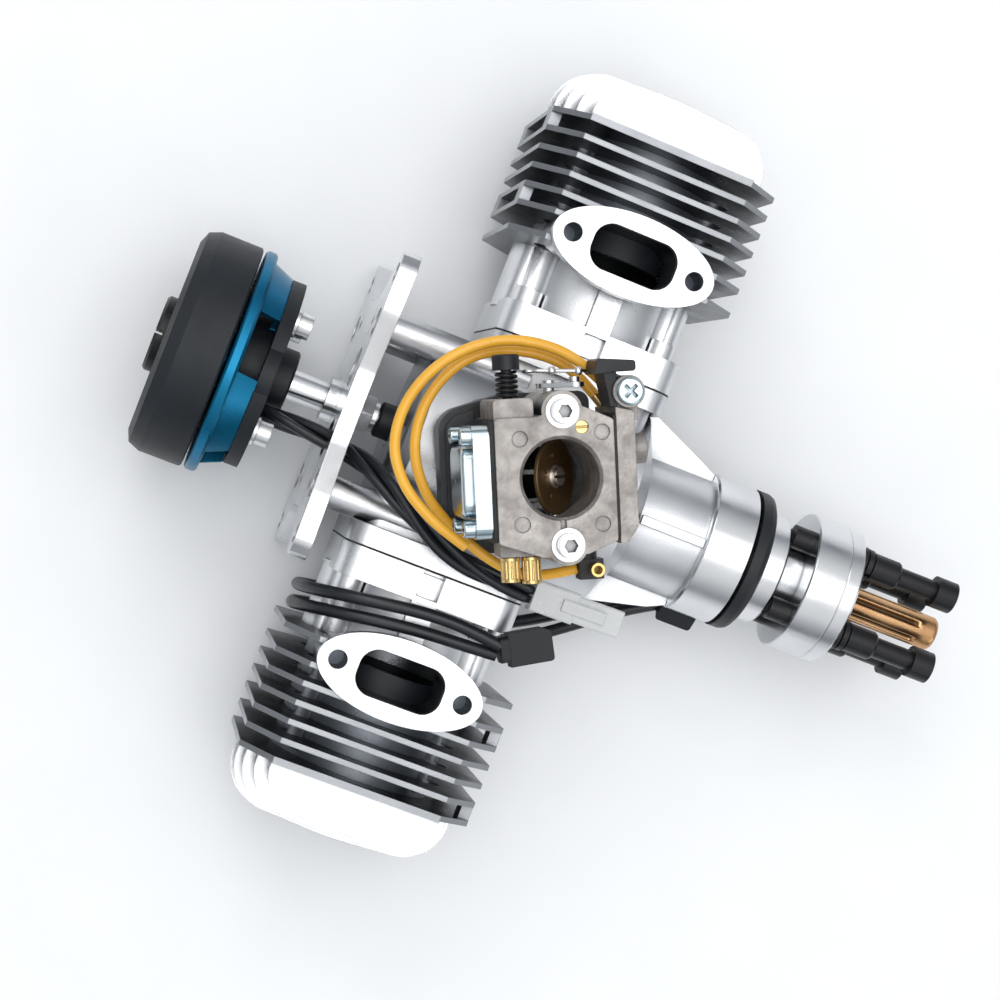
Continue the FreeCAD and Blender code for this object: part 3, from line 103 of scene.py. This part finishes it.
# ---- materials ----------------------------------------------------------------------
class Surface:
    """A material with a Principled shader and short helpers for its node tree."""

    def __init__(self, name, color, metallic, roughness, **sockets):
        self.material = bpy.data.materials.new(name)
        self.material.use_nodes = True
        self.tree = self.material.node_tree
        self.shader = self.tree.nodes["Principled BSDF"]
        self.coords = self.tree.nodes.new("ShaderNodeTexCoord").outputs
        self.set("Base Color", (*color, 1))
        self.set("Metallic", metallic)
        self.set("Roughness", roughness)
        for socket, value in sockets.items():
            self.set(socket.replace("_", " "), value)

    def set(self, socket, value):
        self.shader.inputs[socket].default_value = value

    def add(self, kind, **values):
        node = self.tree.nodes.new(kind)
        for key, value in values.items():
            if key in node.inputs:
                node.inputs[key].default_value = value
            else:
                setattr(node, key, value)
        return node

    def link(self, source, target):
        self.tree.links.new(source, target)

    def noise(self, scale, detail=3.0, stretch=(1, 1, 1)):
        mapping = self.add("ShaderNodeMapping")
        mapping.inputs["Scale"].default_value = stretch
        self.link(self.coords["Object"], mapping.inputs["Vector"])
        noise = self.add("ShaderNodeTexNoise", Scale=scale, Detail=detail)
        self.link(mapping.outputs[0], noise.inputs["Vector"])
        return noise.outputs["Fac"]

    def remap(self, value, low, high, start=0.3, end=0.7):
        """Goes from low to high while the value goes from start to end."""
        node = self.add("ShaderNodeMapRange")
        limits = {"From Min": start, "From Max": end, "To Min": low, "To Max": high}
        for key, number in limits.items():
            node.inputs[key].default_value = number
        self.link(value, node.inputs["Value"])
        return node.outputs[0]

    def calc(self, operation, *values):
        node = self.add("ShaderNodeMath", operation=operation)
        for slot, value in zip(node.inputs, values):
            if isinstance(value, float):
                slot.default_value = value
            else:
                self.link(value, slot)
        return node.outputs[0]

    def multiply(self, first, second):
        return self.calc("MULTIPLY", first, second)

    def part(self, source, axis):
        node = self.add("ShaderNodeSeparateXYZ")
        self.link(self.coords[source], node.inputs[0])
        return node.outputs[axis]

    def mix(self, factor, first, second):
        node = self.add("ShaderNodeMix", data_type="RGBA")
        self.link(factor, node.inputs[0])
        for slot, value in ((node.inputs[6], first), (node.inputs[7], second)):
            if isinstance(value, tuple):
                slot.default_value = (*value, 1)
            else:
                self.link(value, slot)
        return node.outputs[2]

    def tint(self, value, dark, light):
        self.paint(self.mix(self.remap(value, 0, 1), dark, light))

    def paint(self, color):
        self.link(color, self.shader.inputs["Base Color"])
        self.color = color

    def cover(self, mask, color):
        """Lays a second colour over the first where the mask is 1."""
        self.paint(self.mix(mask, self.color, color))

    def recess_shade_mask(self, distance, start=0.25, end=0.8):
        """Mask for painted shade: 1 deep in a recess of the same piece, 0 in the open."""
        node = self.add("ShaderNodeAmbientOcclusion", samples=6, only_local=True, Distance=distance)
        return self.remap(node.outputs["AO"], 1, 0, start, end)

    def roughen(self, value, low, high):
        self.link(self.remap(value, low, high), self.shader.inputs["Roughness"])

    def soften_edges(self, radius):
        bevel = self.add("ShaderNodeBevel", samples=4, Radius=radius)
        self.link(bevel.outputs[0], self.shader.inputs["Normal"])

    def bump(self, value, distance):
        bump = self.add("ShaderNodeBump", Strength=1.0, Distance=distance)
        self.link(value, bump.inputs["Height"])
        previous = self.shader.inputs["Normal"]
        if previous.links:
            self.link(previous.links[0].from_socket, bump.inputs["Normal"])
        self.link(bump.outputs[0], previous)


ROUGHNESS_PATCHES = 90


def finish(name, dark, light, metallic, rough, grain=None,
           waves=(1, 1, 1), edge=0.0003, grime=None, patch=35, **sockets):
    """A surface with slow changes of colour and roughness, soft edges, painted shade in recesses and a
    fine grain.

    rough is the range of the roughness, grain is (scale, depth in metres), waves stretches the
    grain, edge is the radius of the soft edges, the painted shade argument is (reach of the recess,
    colour of the painted shade) and patch is the scale of the colour change.
    """
    s = Surface(name, light, metallic, rough[0], **sockets)
    s.tint(s.noise(patch, 5), dark, light)
    # Painted shade: a darker colour laid into the recesses of the piece.
    if grime:
        s.cover(s.recess_shade_mask(grime[0]), grime[1])
    s.roughen(s.noise(ROUGHNESS_PATCHES, 5), rough[0], rough[1])
    if edge:
        s.soften_edges(edge)
    if grain:
        s.bump(s.noise(grain[0], 2, waves), grain[1])
    return s


# Borders of the painted zones in metres: where each one starts to change, and where it ends.
FINS_START = (0.0575, 0.0582)
FINS_STOP = (0.0926, 0.0932)
FLANGE_UNDERSIDE = (0.0313, 0.0318)
GROOVE_FLOOR = (0.0040, 0.0046)
SCREW_RIM = (0.00285, 0.00295)
DISC_RIM = (0.0078, 0.0086)

# Painted shade over the fin zone, painted shade and dark reflection on the fin faces, painted shade deep
# between the fins.
FIN_ZONE_SHADE = (0.20, 0.21, 0.225)
FIN_FACE_SHADE = (0.075, 0.084, 0.095)
FIN_GAP_SHADE = (0.070, 0.080, 0.096)
GROOVE_FLOOR_DARK = (0.035, 0.022, 0.012)
SCREW_STEEL = (0.62, 0.62, 0.63)
PALE_RIM_BRONZE = (0.42, 0.29, 0.15)


def cylinder_finish(name):
    """Blasted casting with painted shade over its fins and in its ports, and a painted dark reflection
    on the faces of the fins.
    """
    s = finish(name, (0.66, 0.67, 0.69), (0.80, 0.81, 0.82), 1.0, (0.26, 0.38), (2600, 0.00005))
    along = s.calc("ABSOLUTE", s.part("Object", "Y"))
    in_fins = s.multiply(s.remap(along, 0, 1, *FINS_START), s.remap(along, 1, 0, *FINS_STOP))
    below_flange = s.remap(s.part("Object", "Z"), 1, 0, *FLANGE_UNDERSIDE)
    in_fins = s.multiply(in_fins, below_flange)
    flat = s.remap(s.calc("ABSOLUTE", s.part("Normal", "Y")), 0, 1, 0.6, 0.9)
    # Painted shade over the fins, then a painted dark reflection and shade on the faces that face Y.
    s.cover(s.multiply(in_fins, 0.85), FIN_ZONE_SHADE)
    s.cover(s.multiply(s.multiply(in_fins, flat), 0.90), FIN_FACE_SHADE)
    # Painted shade deep between the fins and in the ports.
    s.cover(s.multiply(s.recess_shade_mask(0.012, 0.12, 0.62), 0.92), FIN_GAP_SHADE)
    return s


def stud_finish(name):
    """Yellow-passivated steel, dark at the bottom of the grooves."""
    s = finish(name, (0.44, 0.22, 0.10), (0.72, 0.46, 0.24), 1.0, (0.20, 0.34),
               (700, 0.00003), (1, 4, 4))
    across = [s.calc("POWER", s.calc("ABSOLUTE", s.part("Object", axis)), 2.0) for axis in "YZ"]
    radius = s.calc("SQRT", s.calc("ADD", *across))
    # A darker colour at the bottom of the grooves.
    s.cover(s.multiply(s.remap(radius, 1, 0, *GROOVE_FLOOR), 0.9), GROOVE_FLOOR_DARK)
    return s


def butterfly_finish(name):
    """Bronze disc with a bright screw at its middle and a paler rim."""
    s = finish(name, (0.20, 0.12, 0.055), (0.36, 0.23, 0.11), 1.0, (0.28, 0.44), (900, 0.00004))
    low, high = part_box("throttle_plate")
    middle = (low + high) / 2
    squares = []
    for i, axis in enumerate("XYZ"):
        offset = s.calc("SUBTRACT", s.part("Object", axis), float(middle[i]))
        squares.append(s.calc("POWER", offset, 2.0))
    reach = s.calc("SQRT", s.calc("ADD", s.calc("ADD", squares[0], squares[1]), squares[2]))
    s.cover(s.remap(reach, 1, 0, *SCREW_RIM), SCREW_STEEL)
    # A paler colour laid on the rim of the disc.
    s.cover(s.multiply(s.remap(reach, 0, 1, *DISC_RIM), 0.5), PALE_RIM_BRONZE)
    return s


# Dark colour of the painted shade in recesses.
RECESS_SHADE_DARK = (0.05, 0.05, 0.055)
SPECIAL_FINISHES = {
    "cylinder": (cylinder_finish, "cylinder_casting"),
    "bronze": (butterfly_finish, "bronze"),
    "stud_zinc": (stud_finish, "stud_zinc"),
}
# Dark colour, light colour, metallic, range of roughness and grain, then what else differs.
# Entries with the reach of a recess and a colour paint shade into the recesses.
FINISHES = {
    "casting": (((0.55, 0.56, 0.58), (0.70, 0.71, 0.73), 1.0, (0.26, 0.38), (2600, 0.00005)),
                {"grime": (0.008, (0.12, 0.125, 0.13))}),
    "cylinder": None,
    "machined": (((0.66, 0.67, 0.69), (0.82, 0.83, 0.84), 1.0, (0.16, 0.28), (900, 0.00002)),
                 {"waves": (6, 1, 1), "grime": (0.004, (0.16, 0.165, 0.17))}),
    "diecast": (((0.215, 0.198, 0.186), (0.40, 0.376, 0.356), 0.75, (0.36, 0.60), (1100, 0.00016)),
                {"grime": (0.004, RECESS_SHADE_DARK), "patch": 240}),
    "steel": (((0.66, 0.67, 0.68), (0.82, 0.82, 0.83), 1.0, (0.20, 0.32), (900, 0.00003)),
              {"grime": (0.003, RECESS_SHADE_DARK)}),
    "dark_steel": (((0.006, 0.006, 0.007), (0.014, 0.014, 0.016), 0.3, (0.28, 0.42), (1200, 0.00004)),
                   {}),
    "chromed": (((0.34, 0.42, 0.46), (0.60, 0.69, 0.73), 1.0, (0.10, 0.22), (500, 0.00002)),
                {"grime": (0.003, (0.10, 0.12, 0.13))}),
    "copper": (((0.42, 0.21, 0.095), (0.70, 0.43, 0.22), 1.0, (0.20, 0.34), (700, 0.00003)),
               {"waves": (1, 4, 4), "grime": (0.002, (0.03, 0.02, 0.015))}),
    "brass": (((0.52, 0.36, 0.13), (0.76, 0.56, 0.26), 1.0, (0.16, 0.30), (900, 0.00003)),
              {"grime": (0.002, (0.10, 0.06, 0.02))}),
    "bronze": None,
    "stud_zinc": None,
    "dark_anodised": (((0.007, 0.009, 0.012), (0.014, 0.018, 0.023), 0.1, (0.42, 0.55), (1500, 0.00004)),
                      {"Specular_IOR_Level": 0.35}),
    "blue_anodised": (((0.000, 0.11, 0.23), (0.004, 0.19, 0.35), 0.7, (0.26, 0.38), (1500, 0.00004)),
                      {"grime": (0.004, (0.0, 0.01, 0.02))}),
    "black_plastic": (((0.005, 0.006, 0.008), (0.011, 0.014, 0.018), 0.0, (0.38, 0.54), (1500, 0.00005)),
                      {"Specular_IOR_Level": 0.4}),
    "grey_plastic": (((0.016, 0.018, 0.021), (0.034, 0.038, 0.043), 0.0, (0.34, 0.48), (1500, 0.00006)),
                     {}),
    "white_plastic": (((0.74, 0.76, 0.76), (0.90, 0.91, 0.91), 0.0, (0.22, 0.36), (900, 0.00004)),
                      {"Transmission_Weight": 0.35}),
    "ceramic": (((0.78, 0.78, 0.76), (0.88, 0.88, 0.86), 0.0, (0.10, 0.18), (300, 0.00002)),
                {}),
    "gasket": (((0.010, 0.010, 0.010), (0.022, 0.022, 0.022), 0.0, (0.60, 0.80), (1500, 0.0001)),
               {}),
    "yellow_hose": (((0.74, 0.36, 0.028), (0.92, 0.50, 0.050), 0.0, (0.24, 0.36), (500, 0.00004)),
                    {"edge": 0}),
    "wire_jacket": (((0.004, 0.006, 0.009), (0.010, 0.013, 0.018), 0.0, (0.30, 0.44), (600, 0.00005)),
                    {"edge": 0}),
}
# Nodes that look different from the rest of their material slot.
OWN_FINISH = {
    "cylinder_left": "cylinder",
    "cylinder_right": "cylinder",
    "throttle_plate": "bronze",
    "throttle_shaft": "steel",
    "piston_left": "dark_anodised",
    "piston_right": "dark_anodised",
}


def make_materials():
    materials = {}
    for slot, look in FINISHES.items():
        if look is None:
            make, name = SPECIAL_FINISHES[slot]
            surface = make(name)
        else:
            values, extras = look
            surface = finish(slot, *values, **extras)
        materials[slot] = surface.material
    return materials


def dress_nodes(materials):
    for part in frame["record"]["subparts"]:
        slot = OWN_FINISH.get(part["node"], part["material_slot"])
        data = NODES[part["node"]].data
        data.materials.clear()
        data.materials.append(materials[slot])


# ---- cords --------------------------------------------------------------------------
# Diameter of each cord and the control points of its centre line, in millimetres.
ROUTES = {
    "fuel_hose": (2.7, [
        (54.5, 26.5, 60), (46.6, 29.6, 60.4), (37, 29.9, 60.1), (27.2, 27.2, 59.6),
        (18.6, 20.6, 58.8), (13.2, 12, 58.1), (10.9, 2.8, 57.6), (12.2, -7, 57.2),
        (18.2, -14.8, 56.8), (26, -19.4, 56.5), (32.2, -21.7, 56.4), (38.2, -23.3, 56.2)]),
    "pulse_hose": (2.7, [
        (54.5, 23.2, 56.2), (47.5, 27.2, 56), (38.4, 27.8, 55.7), (29.2, 25.4, 55.2),
        (21.6, 20.2, 54.5), (17.2, 12, 53.7), (16, 2.8, 52.7), (18.2, -6.6, 51.6),
        (24.6, -14.6, 50), (31.5, -18.7, 47.8), (38.6, -21.8, 46.6), (46.2, -24.3, 47.4),
        (54.2, -25.2, 49.4), (61.3, -22.4, 52.4), (66.6, -18.3, 55.2)]),
    "phase_wires": (6.0, [
        (-18.7, -9.6, 7.4), (-7.6, -10, 11.2), (4.6, -10.6, 14.8), (13, -13.6, 25),
        (22, -18.2, 30.8), (32.5, -24.2, 30.6), (43, -27.6, 29.8), (53.5, -29, 29.4),
        (63.2, -28.8, 28.8)]),
    "sensor_lead_a": (3.4, [
        (106.2, -17.6, -15.0), (98, -21.5, -16.0), (87.5, -28.5, -18.4), (75.5, -37.0, -22.4),
        (63.5, -43.2, -25.8), (51, -46.2, -27.2), (38.5, -47.2, -27.4), (27, -48.2, -26.2),
        (17.6, -48.8, -21.8), (11, -49.2, -13.4), (8, -49.2, -3.2), (7.6, -48.8, 8),
        (10, -48, 18.6), (17.6, -46.4, 26.4), (28.4, -44.6, 28.8), (39.6, -43.2, 29),
        (50.4, -43, 29), (60.4, -44.4, 29.4)]),
    "sensor_lead_b": (3.4, [
        (106.2, -19.6, -11.9), (98, -24.2, -12.4), (87.5, -32.5, -14.6), (76, -41.6, -18.4),
        (64, -48.0, -22.8), (51.5, -51.4, -25.6), (38, -52.6, -26.4), (25.6, -53.4, -25.4),
        (16.2, -53.9, -21), (10.4, -54.2, -12.4), (8.2, -54.2, -2.4), (8.2, -53.8, 8),
        (11.4, -52.6, 18), (19.4, -51, 24.8), (30, -49.2, 27.6), (41, -48, 28),
        (51, -47.6, 27.8), (60.4, -47.1, 26.9)]),
}


def spline_object(name, points, radius):
    curve = bpy.data.curves.new(name, "CURVE")
    curve.dimensions = "3D"
    curve.bevel_depth = radius * MM
    curve.bevel_resolution = 5
    curve.resolution_u = 10
    curve.use_fill_caps = True
    spline = curve.splines.new("NURBS")
    spline.points.add(len(points) - 1)
    for slot, point in zip(spline.points, points):
        slot.co = (*(Vector(point) * MM), 1)
    spline.order_u = 3
    spline.use_endpoint_u = True
    obj = bpy.data.objects.new(name, curve)
    SCENE.collection.objects.link(obj)
    return obj


def measured(obj):
    """Length in metres of the curve's centre line, and its points."""
    curve = obj.data
    depth, curve.bevel_depth = curve.bevel_depth, 0
    mesh = bpy.data.meshes.new_from_object(obj)
    curve.bevel_depth = depth
    points = [v.co.copy() for v in mesh.vertices]
    length = sum((b - a).length for a, b in zip(points, points[1:]))
    return length, points


def lay_cord(node, material):
    diameter, points = ROUTES[node]
    obj = spline_object(node + "_line", points, diameter / 2)
    obj.data.materials.append(material)
    length = measured(obj)[0]
    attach(obj, "engine")
    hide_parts(node)
    tuple(Vector(points[0]) * MM)


def lay_cords(materials):
    hose, jacket = materials["yellow_hose"], materials["wire_jacket"]
    lay_cord("fuel_hose", hose)
    lay_cord("pulse_hose", hose)
    phase_strands(jacket)
    for lead in ("sensor_lead_a", "sensor_lead_b"):
        lay_cord(lead, jacket)


# ---- mesh helpers -------------------------------------------------------------------
END_WIDTH = 0.72


def directions(line):
    """Each point of a line with its along, side and up directions, carried without twist."""
    side = None
    for i, point in enumerate(line):
        along = (line[min(i + 1, len(line) - 1)] - line[max(i - 1, 0)]).normalized()
        side = (along.orthogonal() if side is None else side - along * side.dot(along)).normalized()
        yield point, along, side, along.cross(side)


def join_rings(mesh, rings):
    """Adds the faces between rings of equal length, and a cap on each end."""
    sides = len(rings[0])
    for first, second in zip(rings, rings[1:]):
        for k in range(sides):
            after = (k + 1) % sides
            mesh.faces.new((first[k], first[after], second[after], second[k]))
    mesh.faces.new(reversed(rings[0]))
    mesh.faces.new(rings[-1])


def add_tube(mesh, line, radius, sides=12):
    """Adds a round closed tube that follows a line and narrows at its two ends."""
    rings = []
    last = len(line) - 1
    spin = [2 * math.pi * k / sides for k in range(sides)]
    for i, (point, along, side, up) in enumerate(directions(line)):
        size = radius * (END_WIDTH if i in (0, last) else 1)
        ring = [point + (side * math.cos(a) + up * math.sin(a)) * size for a in spin]
        rings.append([mesh.verts.new(place) for place in ring])
    join_rings(mesh, rings)


def piece(name, mesh, material, body, *stands_for):
    """Makes an object of the mesh, on a body, in place of the CAD nodes named last."""
    bmesh.ops.recalc_face_normals(mesh, faces=mesh.faces)
    data = bpy.data.meshes.new(name)
    mesh.to_mesh(data)
    mesh.free()
    data.materials.append(material)
    data.shade_smooth()
    obj = bpy.data.objects.new(name, data)
    SCENE.collection.objects.link(obj)
    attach(obj, body)
    if stands_for:
        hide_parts(*stands_for)
    return obj


# ---- finer pieces -------------------------------------------------------------------
STRANDS = 3
STRAND_PITCH = 0.070
STRAND_OFFSET = 0.00158
STRAND_RADIUS = 0.00138


def phase_strands(material):
    """Three insulated wires laid round each other along the route."""
    diameter, points = ROUTES["phase_wires"]
    guide = spline_object("phase_guide", points, 0)
    length, line = measured(guide)
    bpy.data.objects.remove(guide)
    mesh = bmesh.new()
    steps = list(directions(line))
    for strand in range(STRANDS):
        way, run = [], 0
        for i, (point, along, side, up) in enumerate(steps):
            run += (point - steps[i - 1][0]).length if i else 0
            turn = 2 * math.pi * (run / STRAND_PITCH + strand / STRANDS)
            way.append(point + (side * math.cos(turn) + up * math.sin(turn)) * STRAND_OFFSET)
        add_tube(mesh, way, STRAND_RADIUS)
    wires = piece("phase_strands", mesh, material, "engine", "phase_wires")
    tuple(Vector(points[0]) * MM)
    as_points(line)


# The carburettor's own axes: u and v are turned about Z from a centre, in millimetres.
CARB_TURN = math.radians(24)
CARB_CENTRE = (50.8, 0.3)
THROTTLE_LEVEL = 66


def in_carb(u, v, z=THROTTLE_LEVEL):
    """A point given on the carburettor's own axes, in metres in the part's frame."""
    cos, sin = math.cos(CARB_TURN), math.sin(CARB_TURN)
    x = CARB_CENTRE[0] + u * cos - v * sin
    y = CARB_CENTRE[1] + u * sin + v * cos
    return Vector((x, y, z)) * MM


SPRING_U, SPRING_V = -10.8, 19.95
SPRING_LENGTH = 6.0
SPRING_RADIUS = 2.42
SPRING_WIRE = 0.00043


def idle_coils(material):
    """The idle screw's spring as one wire of five turns."""
    turns, per_turn = 5, 20
    line = []
    for i in range(turns * per_turn + 1):
        angle = 2 * math.pi * i / per_turn
        u = SPRING_U + SPRING_RADIUS * math.cos(angle)
        v = SPRING_V + SPRING_LENGTH * i / (turns * per_turn)
        line.append(in_carb(u, v, THROTTLE_LEVEL + SPRING_RADIUS * math.sin(angle)))
    mesh = bmesh.new()
    add_tube(mesh, line, SPRING_WIRE, 10)
    piece("idle_coils", mesh, material, BODY_OF["idle_spring"], "idle_spring")


LINK_V = 25.9
LINK_LEAN = 0.04
LINK_HINGE = 3.5
LINK_WIRE = 0.0005
EYE_U, EYE_RADIUS = -5.2, 1.25
COLLAR_RADIUS = 0.00105


def on_link(u):
    return in_carb(u, LINK_V - LINK_LEAN * (u + LINK_HINGE))


def linkage_rod(material):
    """Wire link beside the throttle lever, bent into an eye at its free end."""
    line = []
    for i in range(1, 17):
        angle = math.radians(20 * i)
        height = THROTTLE_LEVEL + EYE_RADIUS * math.sin(angle)
        line.append(in_carb(EYE_U + EYE_RADIUS * math.cos(angle), LINK_V, height))
    line += [on_link(u) for u in (-2.6, 0, 3, 6, 9)]
    mesh = bmesh.new()
    add_tube(mesh, line, LINK_WIRE, 10)
    for start in (-0.4, 6.2):
        collar = [on_link(start + step) for step in (0, 0.25, 1.35, 1.6)]
        add_tube(mesh, collar, COLLAR_RADIUS, 16)
    piece("linkage_rod", mesh, material, BODY_OF["lever_bracket"])


STUD_SIDES = 144
STUD_RADIUS = 4.8
STUD_START = [(136.0, 4.5), (149.5, 4.5), (149.5, STUD_RADIUS)]
STUD_MIDDLE = [(150.5 + 0.5 * i, STUD_RADIUS) for i in range(58)]
STUD_TIP = [(179.4, 4.75), (180.1, 4.3), (180.4, 3.6)]
GROOVE_PITCH = math.pi / 3
FIRST_GROOVE = math.radians(15)
GROOVE_DEPTH = 1.05
GROOVE_HALF_WIDTH = 0.95
GROOVE_FLANK = 0.4
GROOVE_FROM, GROOVE_TO = 152.6, 174.6
GROOVE_RUN_OUT = 1.2


def ramp_up(distance, width):
    """0 up to the start, then rising to 1 over the width."""
    return min(1, max(0, distance / width))


def groove_depth(x, radius, angle):
    """How deep a groove cuts into the stud at this place, in millimetres."""
    ends = ramp_up(x - GROOVE_FROM, GROOVE_RUN_OUT) * ramp_up(GROOVE_TO - x, GROOVE_RUN_OUT)
    turned = (angle - FIRST_GROOVE + GROOVE_PITCH / 2) % GROOVE_PITCH
    off = abs(turned - GROOVE_PITCH / 2) * radius
    return GROOVE_DEPTH * ends * min(1, max(0, (GROOVE_HALF_WIDTH - off) / GROOVE_FLANK))


def grooved_stud(material):
    """The propeller stud with its six long grooves."""
    mesh = bmesh.new()
    rings = []
    for x, radius in STUD_START + STUD_MIDDLE + STUD_TIP:
        ring = []
        for k in range(STUD_SIDES):
            angle = 2 * math.pi * k / STUD_SIDES
            reach = radius - groove_depth(x, radius, angle)
            place = Vector((x, reach * math.cos(angle), reach * math.sin(angle))) * MM
            ring.append(mesh.verts.new(place))
        rings.append(ring)
    join_rings(mesh, rings)
    piece("grooved_stud", mesh, material, BODY_OF["centre_stud"], "centre_stud")


# ---- stage --------------------------------------------------------------------------
FLOOR_REACH = 8.0
FLOOR_CORNERS = ((-1, -1), (1, -1), (1, 1), (-1, 1))
# Position on the ramp from below to above, and colour.
SKY_HORIZON = (0.06, (0.80, 0.82, 0.85, 1))
SKY_DARK_BAND = (0.16, (0.17, 0.19, 0.22, 1))
SKY_TOP = (0.80, (0.97, 0.985, 1.0, 1))
SKY_STRENGTH = 0.92
LIGHT_AIM = (0.05, 0, 0)
# Name, place, width and height in metres, power in watts.
LIGHTS = [
    ("overhead", (0.05, 0.10, 1.15), (0.9, 0.9), 5.0),
    ("key", (-0.35, 0.55, 0.75), (0.5, 0.35), 1.6),
    ("fill", (0.75, -0.45, 0.45), (0.5, 0.3), 0.9),
]


def build_stage():
    """A pale floor at the level of the part's lowest point."""
    level = CAD_BOX[0][2]
    corners = [(x * FLOOR_REACH, y * FLOOR_REACH, level) for x, y in FLOOR_CORNERS]
    data = bpy.data.meshes.new("floor")
    data.from_pydata(corners, [], [(0, 1, 2, 3)])
    floor = bpy.data.objects.new("floor", data)
    SCENE.collection.objects.link(floor)
    paper = finish("paper", (0.86, 0.87, 0.885), (0.88, 0.89, 0.905), 0.0, (0.60, 0.70), edge=0)
    data.materials.append(paper.material)


def add_light(name, place, size, power):
    data = bpy.data.lights.new(name, "AREA")
    data.shape = "RECTANGLE"
    data.size, data.size_y = size
    data.energy = power
    obj = bpy.data.objects.new(name, data)
    obj.location = place
    aim = Vector(LIGHT_AIM) - Vector(place)
    obj.rotation_euler = aim.to_track_quat("-Z", "Y").to_euler()
    SCENE.collection.objects.link(obj)


def light_stage():
    world = bpy.data.worlds.new("studio")
    world.use_nodes = True
    tree = world.node_tree
    coords = tree.nodes.new("ShaderNodeTexCoord")
    parts = tree.nodes.new("ShaderNodeSeparateXYZ")
    ramp = tree.nodes.new("ShaderNodeValToRGB")
    tree.links.new(coords.outputs["Generated"], parts.inputs[0])
    tree.links.new(parts.outputs["Z"], ramp.inputs[0])
    stops = ramp.color_ramp.elements
    stops[0].position, stops[0].color = SKY_HORIZON
    stops[1].position, stops[1].color = SKY_TOP
    stops.new(SKY_DARK_BAND[0]).color = SKY_DARK_BAND[1]
    background = tree.nodes["Background"]
    tree.links.new(ramp.outputs[0], background.inputs["Color"])
    background.inputs["Strength"].default_value = SKY_STRENGTH
    SCENE.world = world
    for light in LIGHTS:
        add_light(*light)


def main():
    aim_camera()
    materials = make_materials()
    dress_nodes(materials)
    lay_cords(materials)
    idle_coils(materials["dark_steel"])
    linkage_rod(materials["steel"])
    grooved_stud(materials["stud_zinc"])
    build_stage()
    light_stage()
    SCENE.view_settings.view_transform = "Standard"


main()
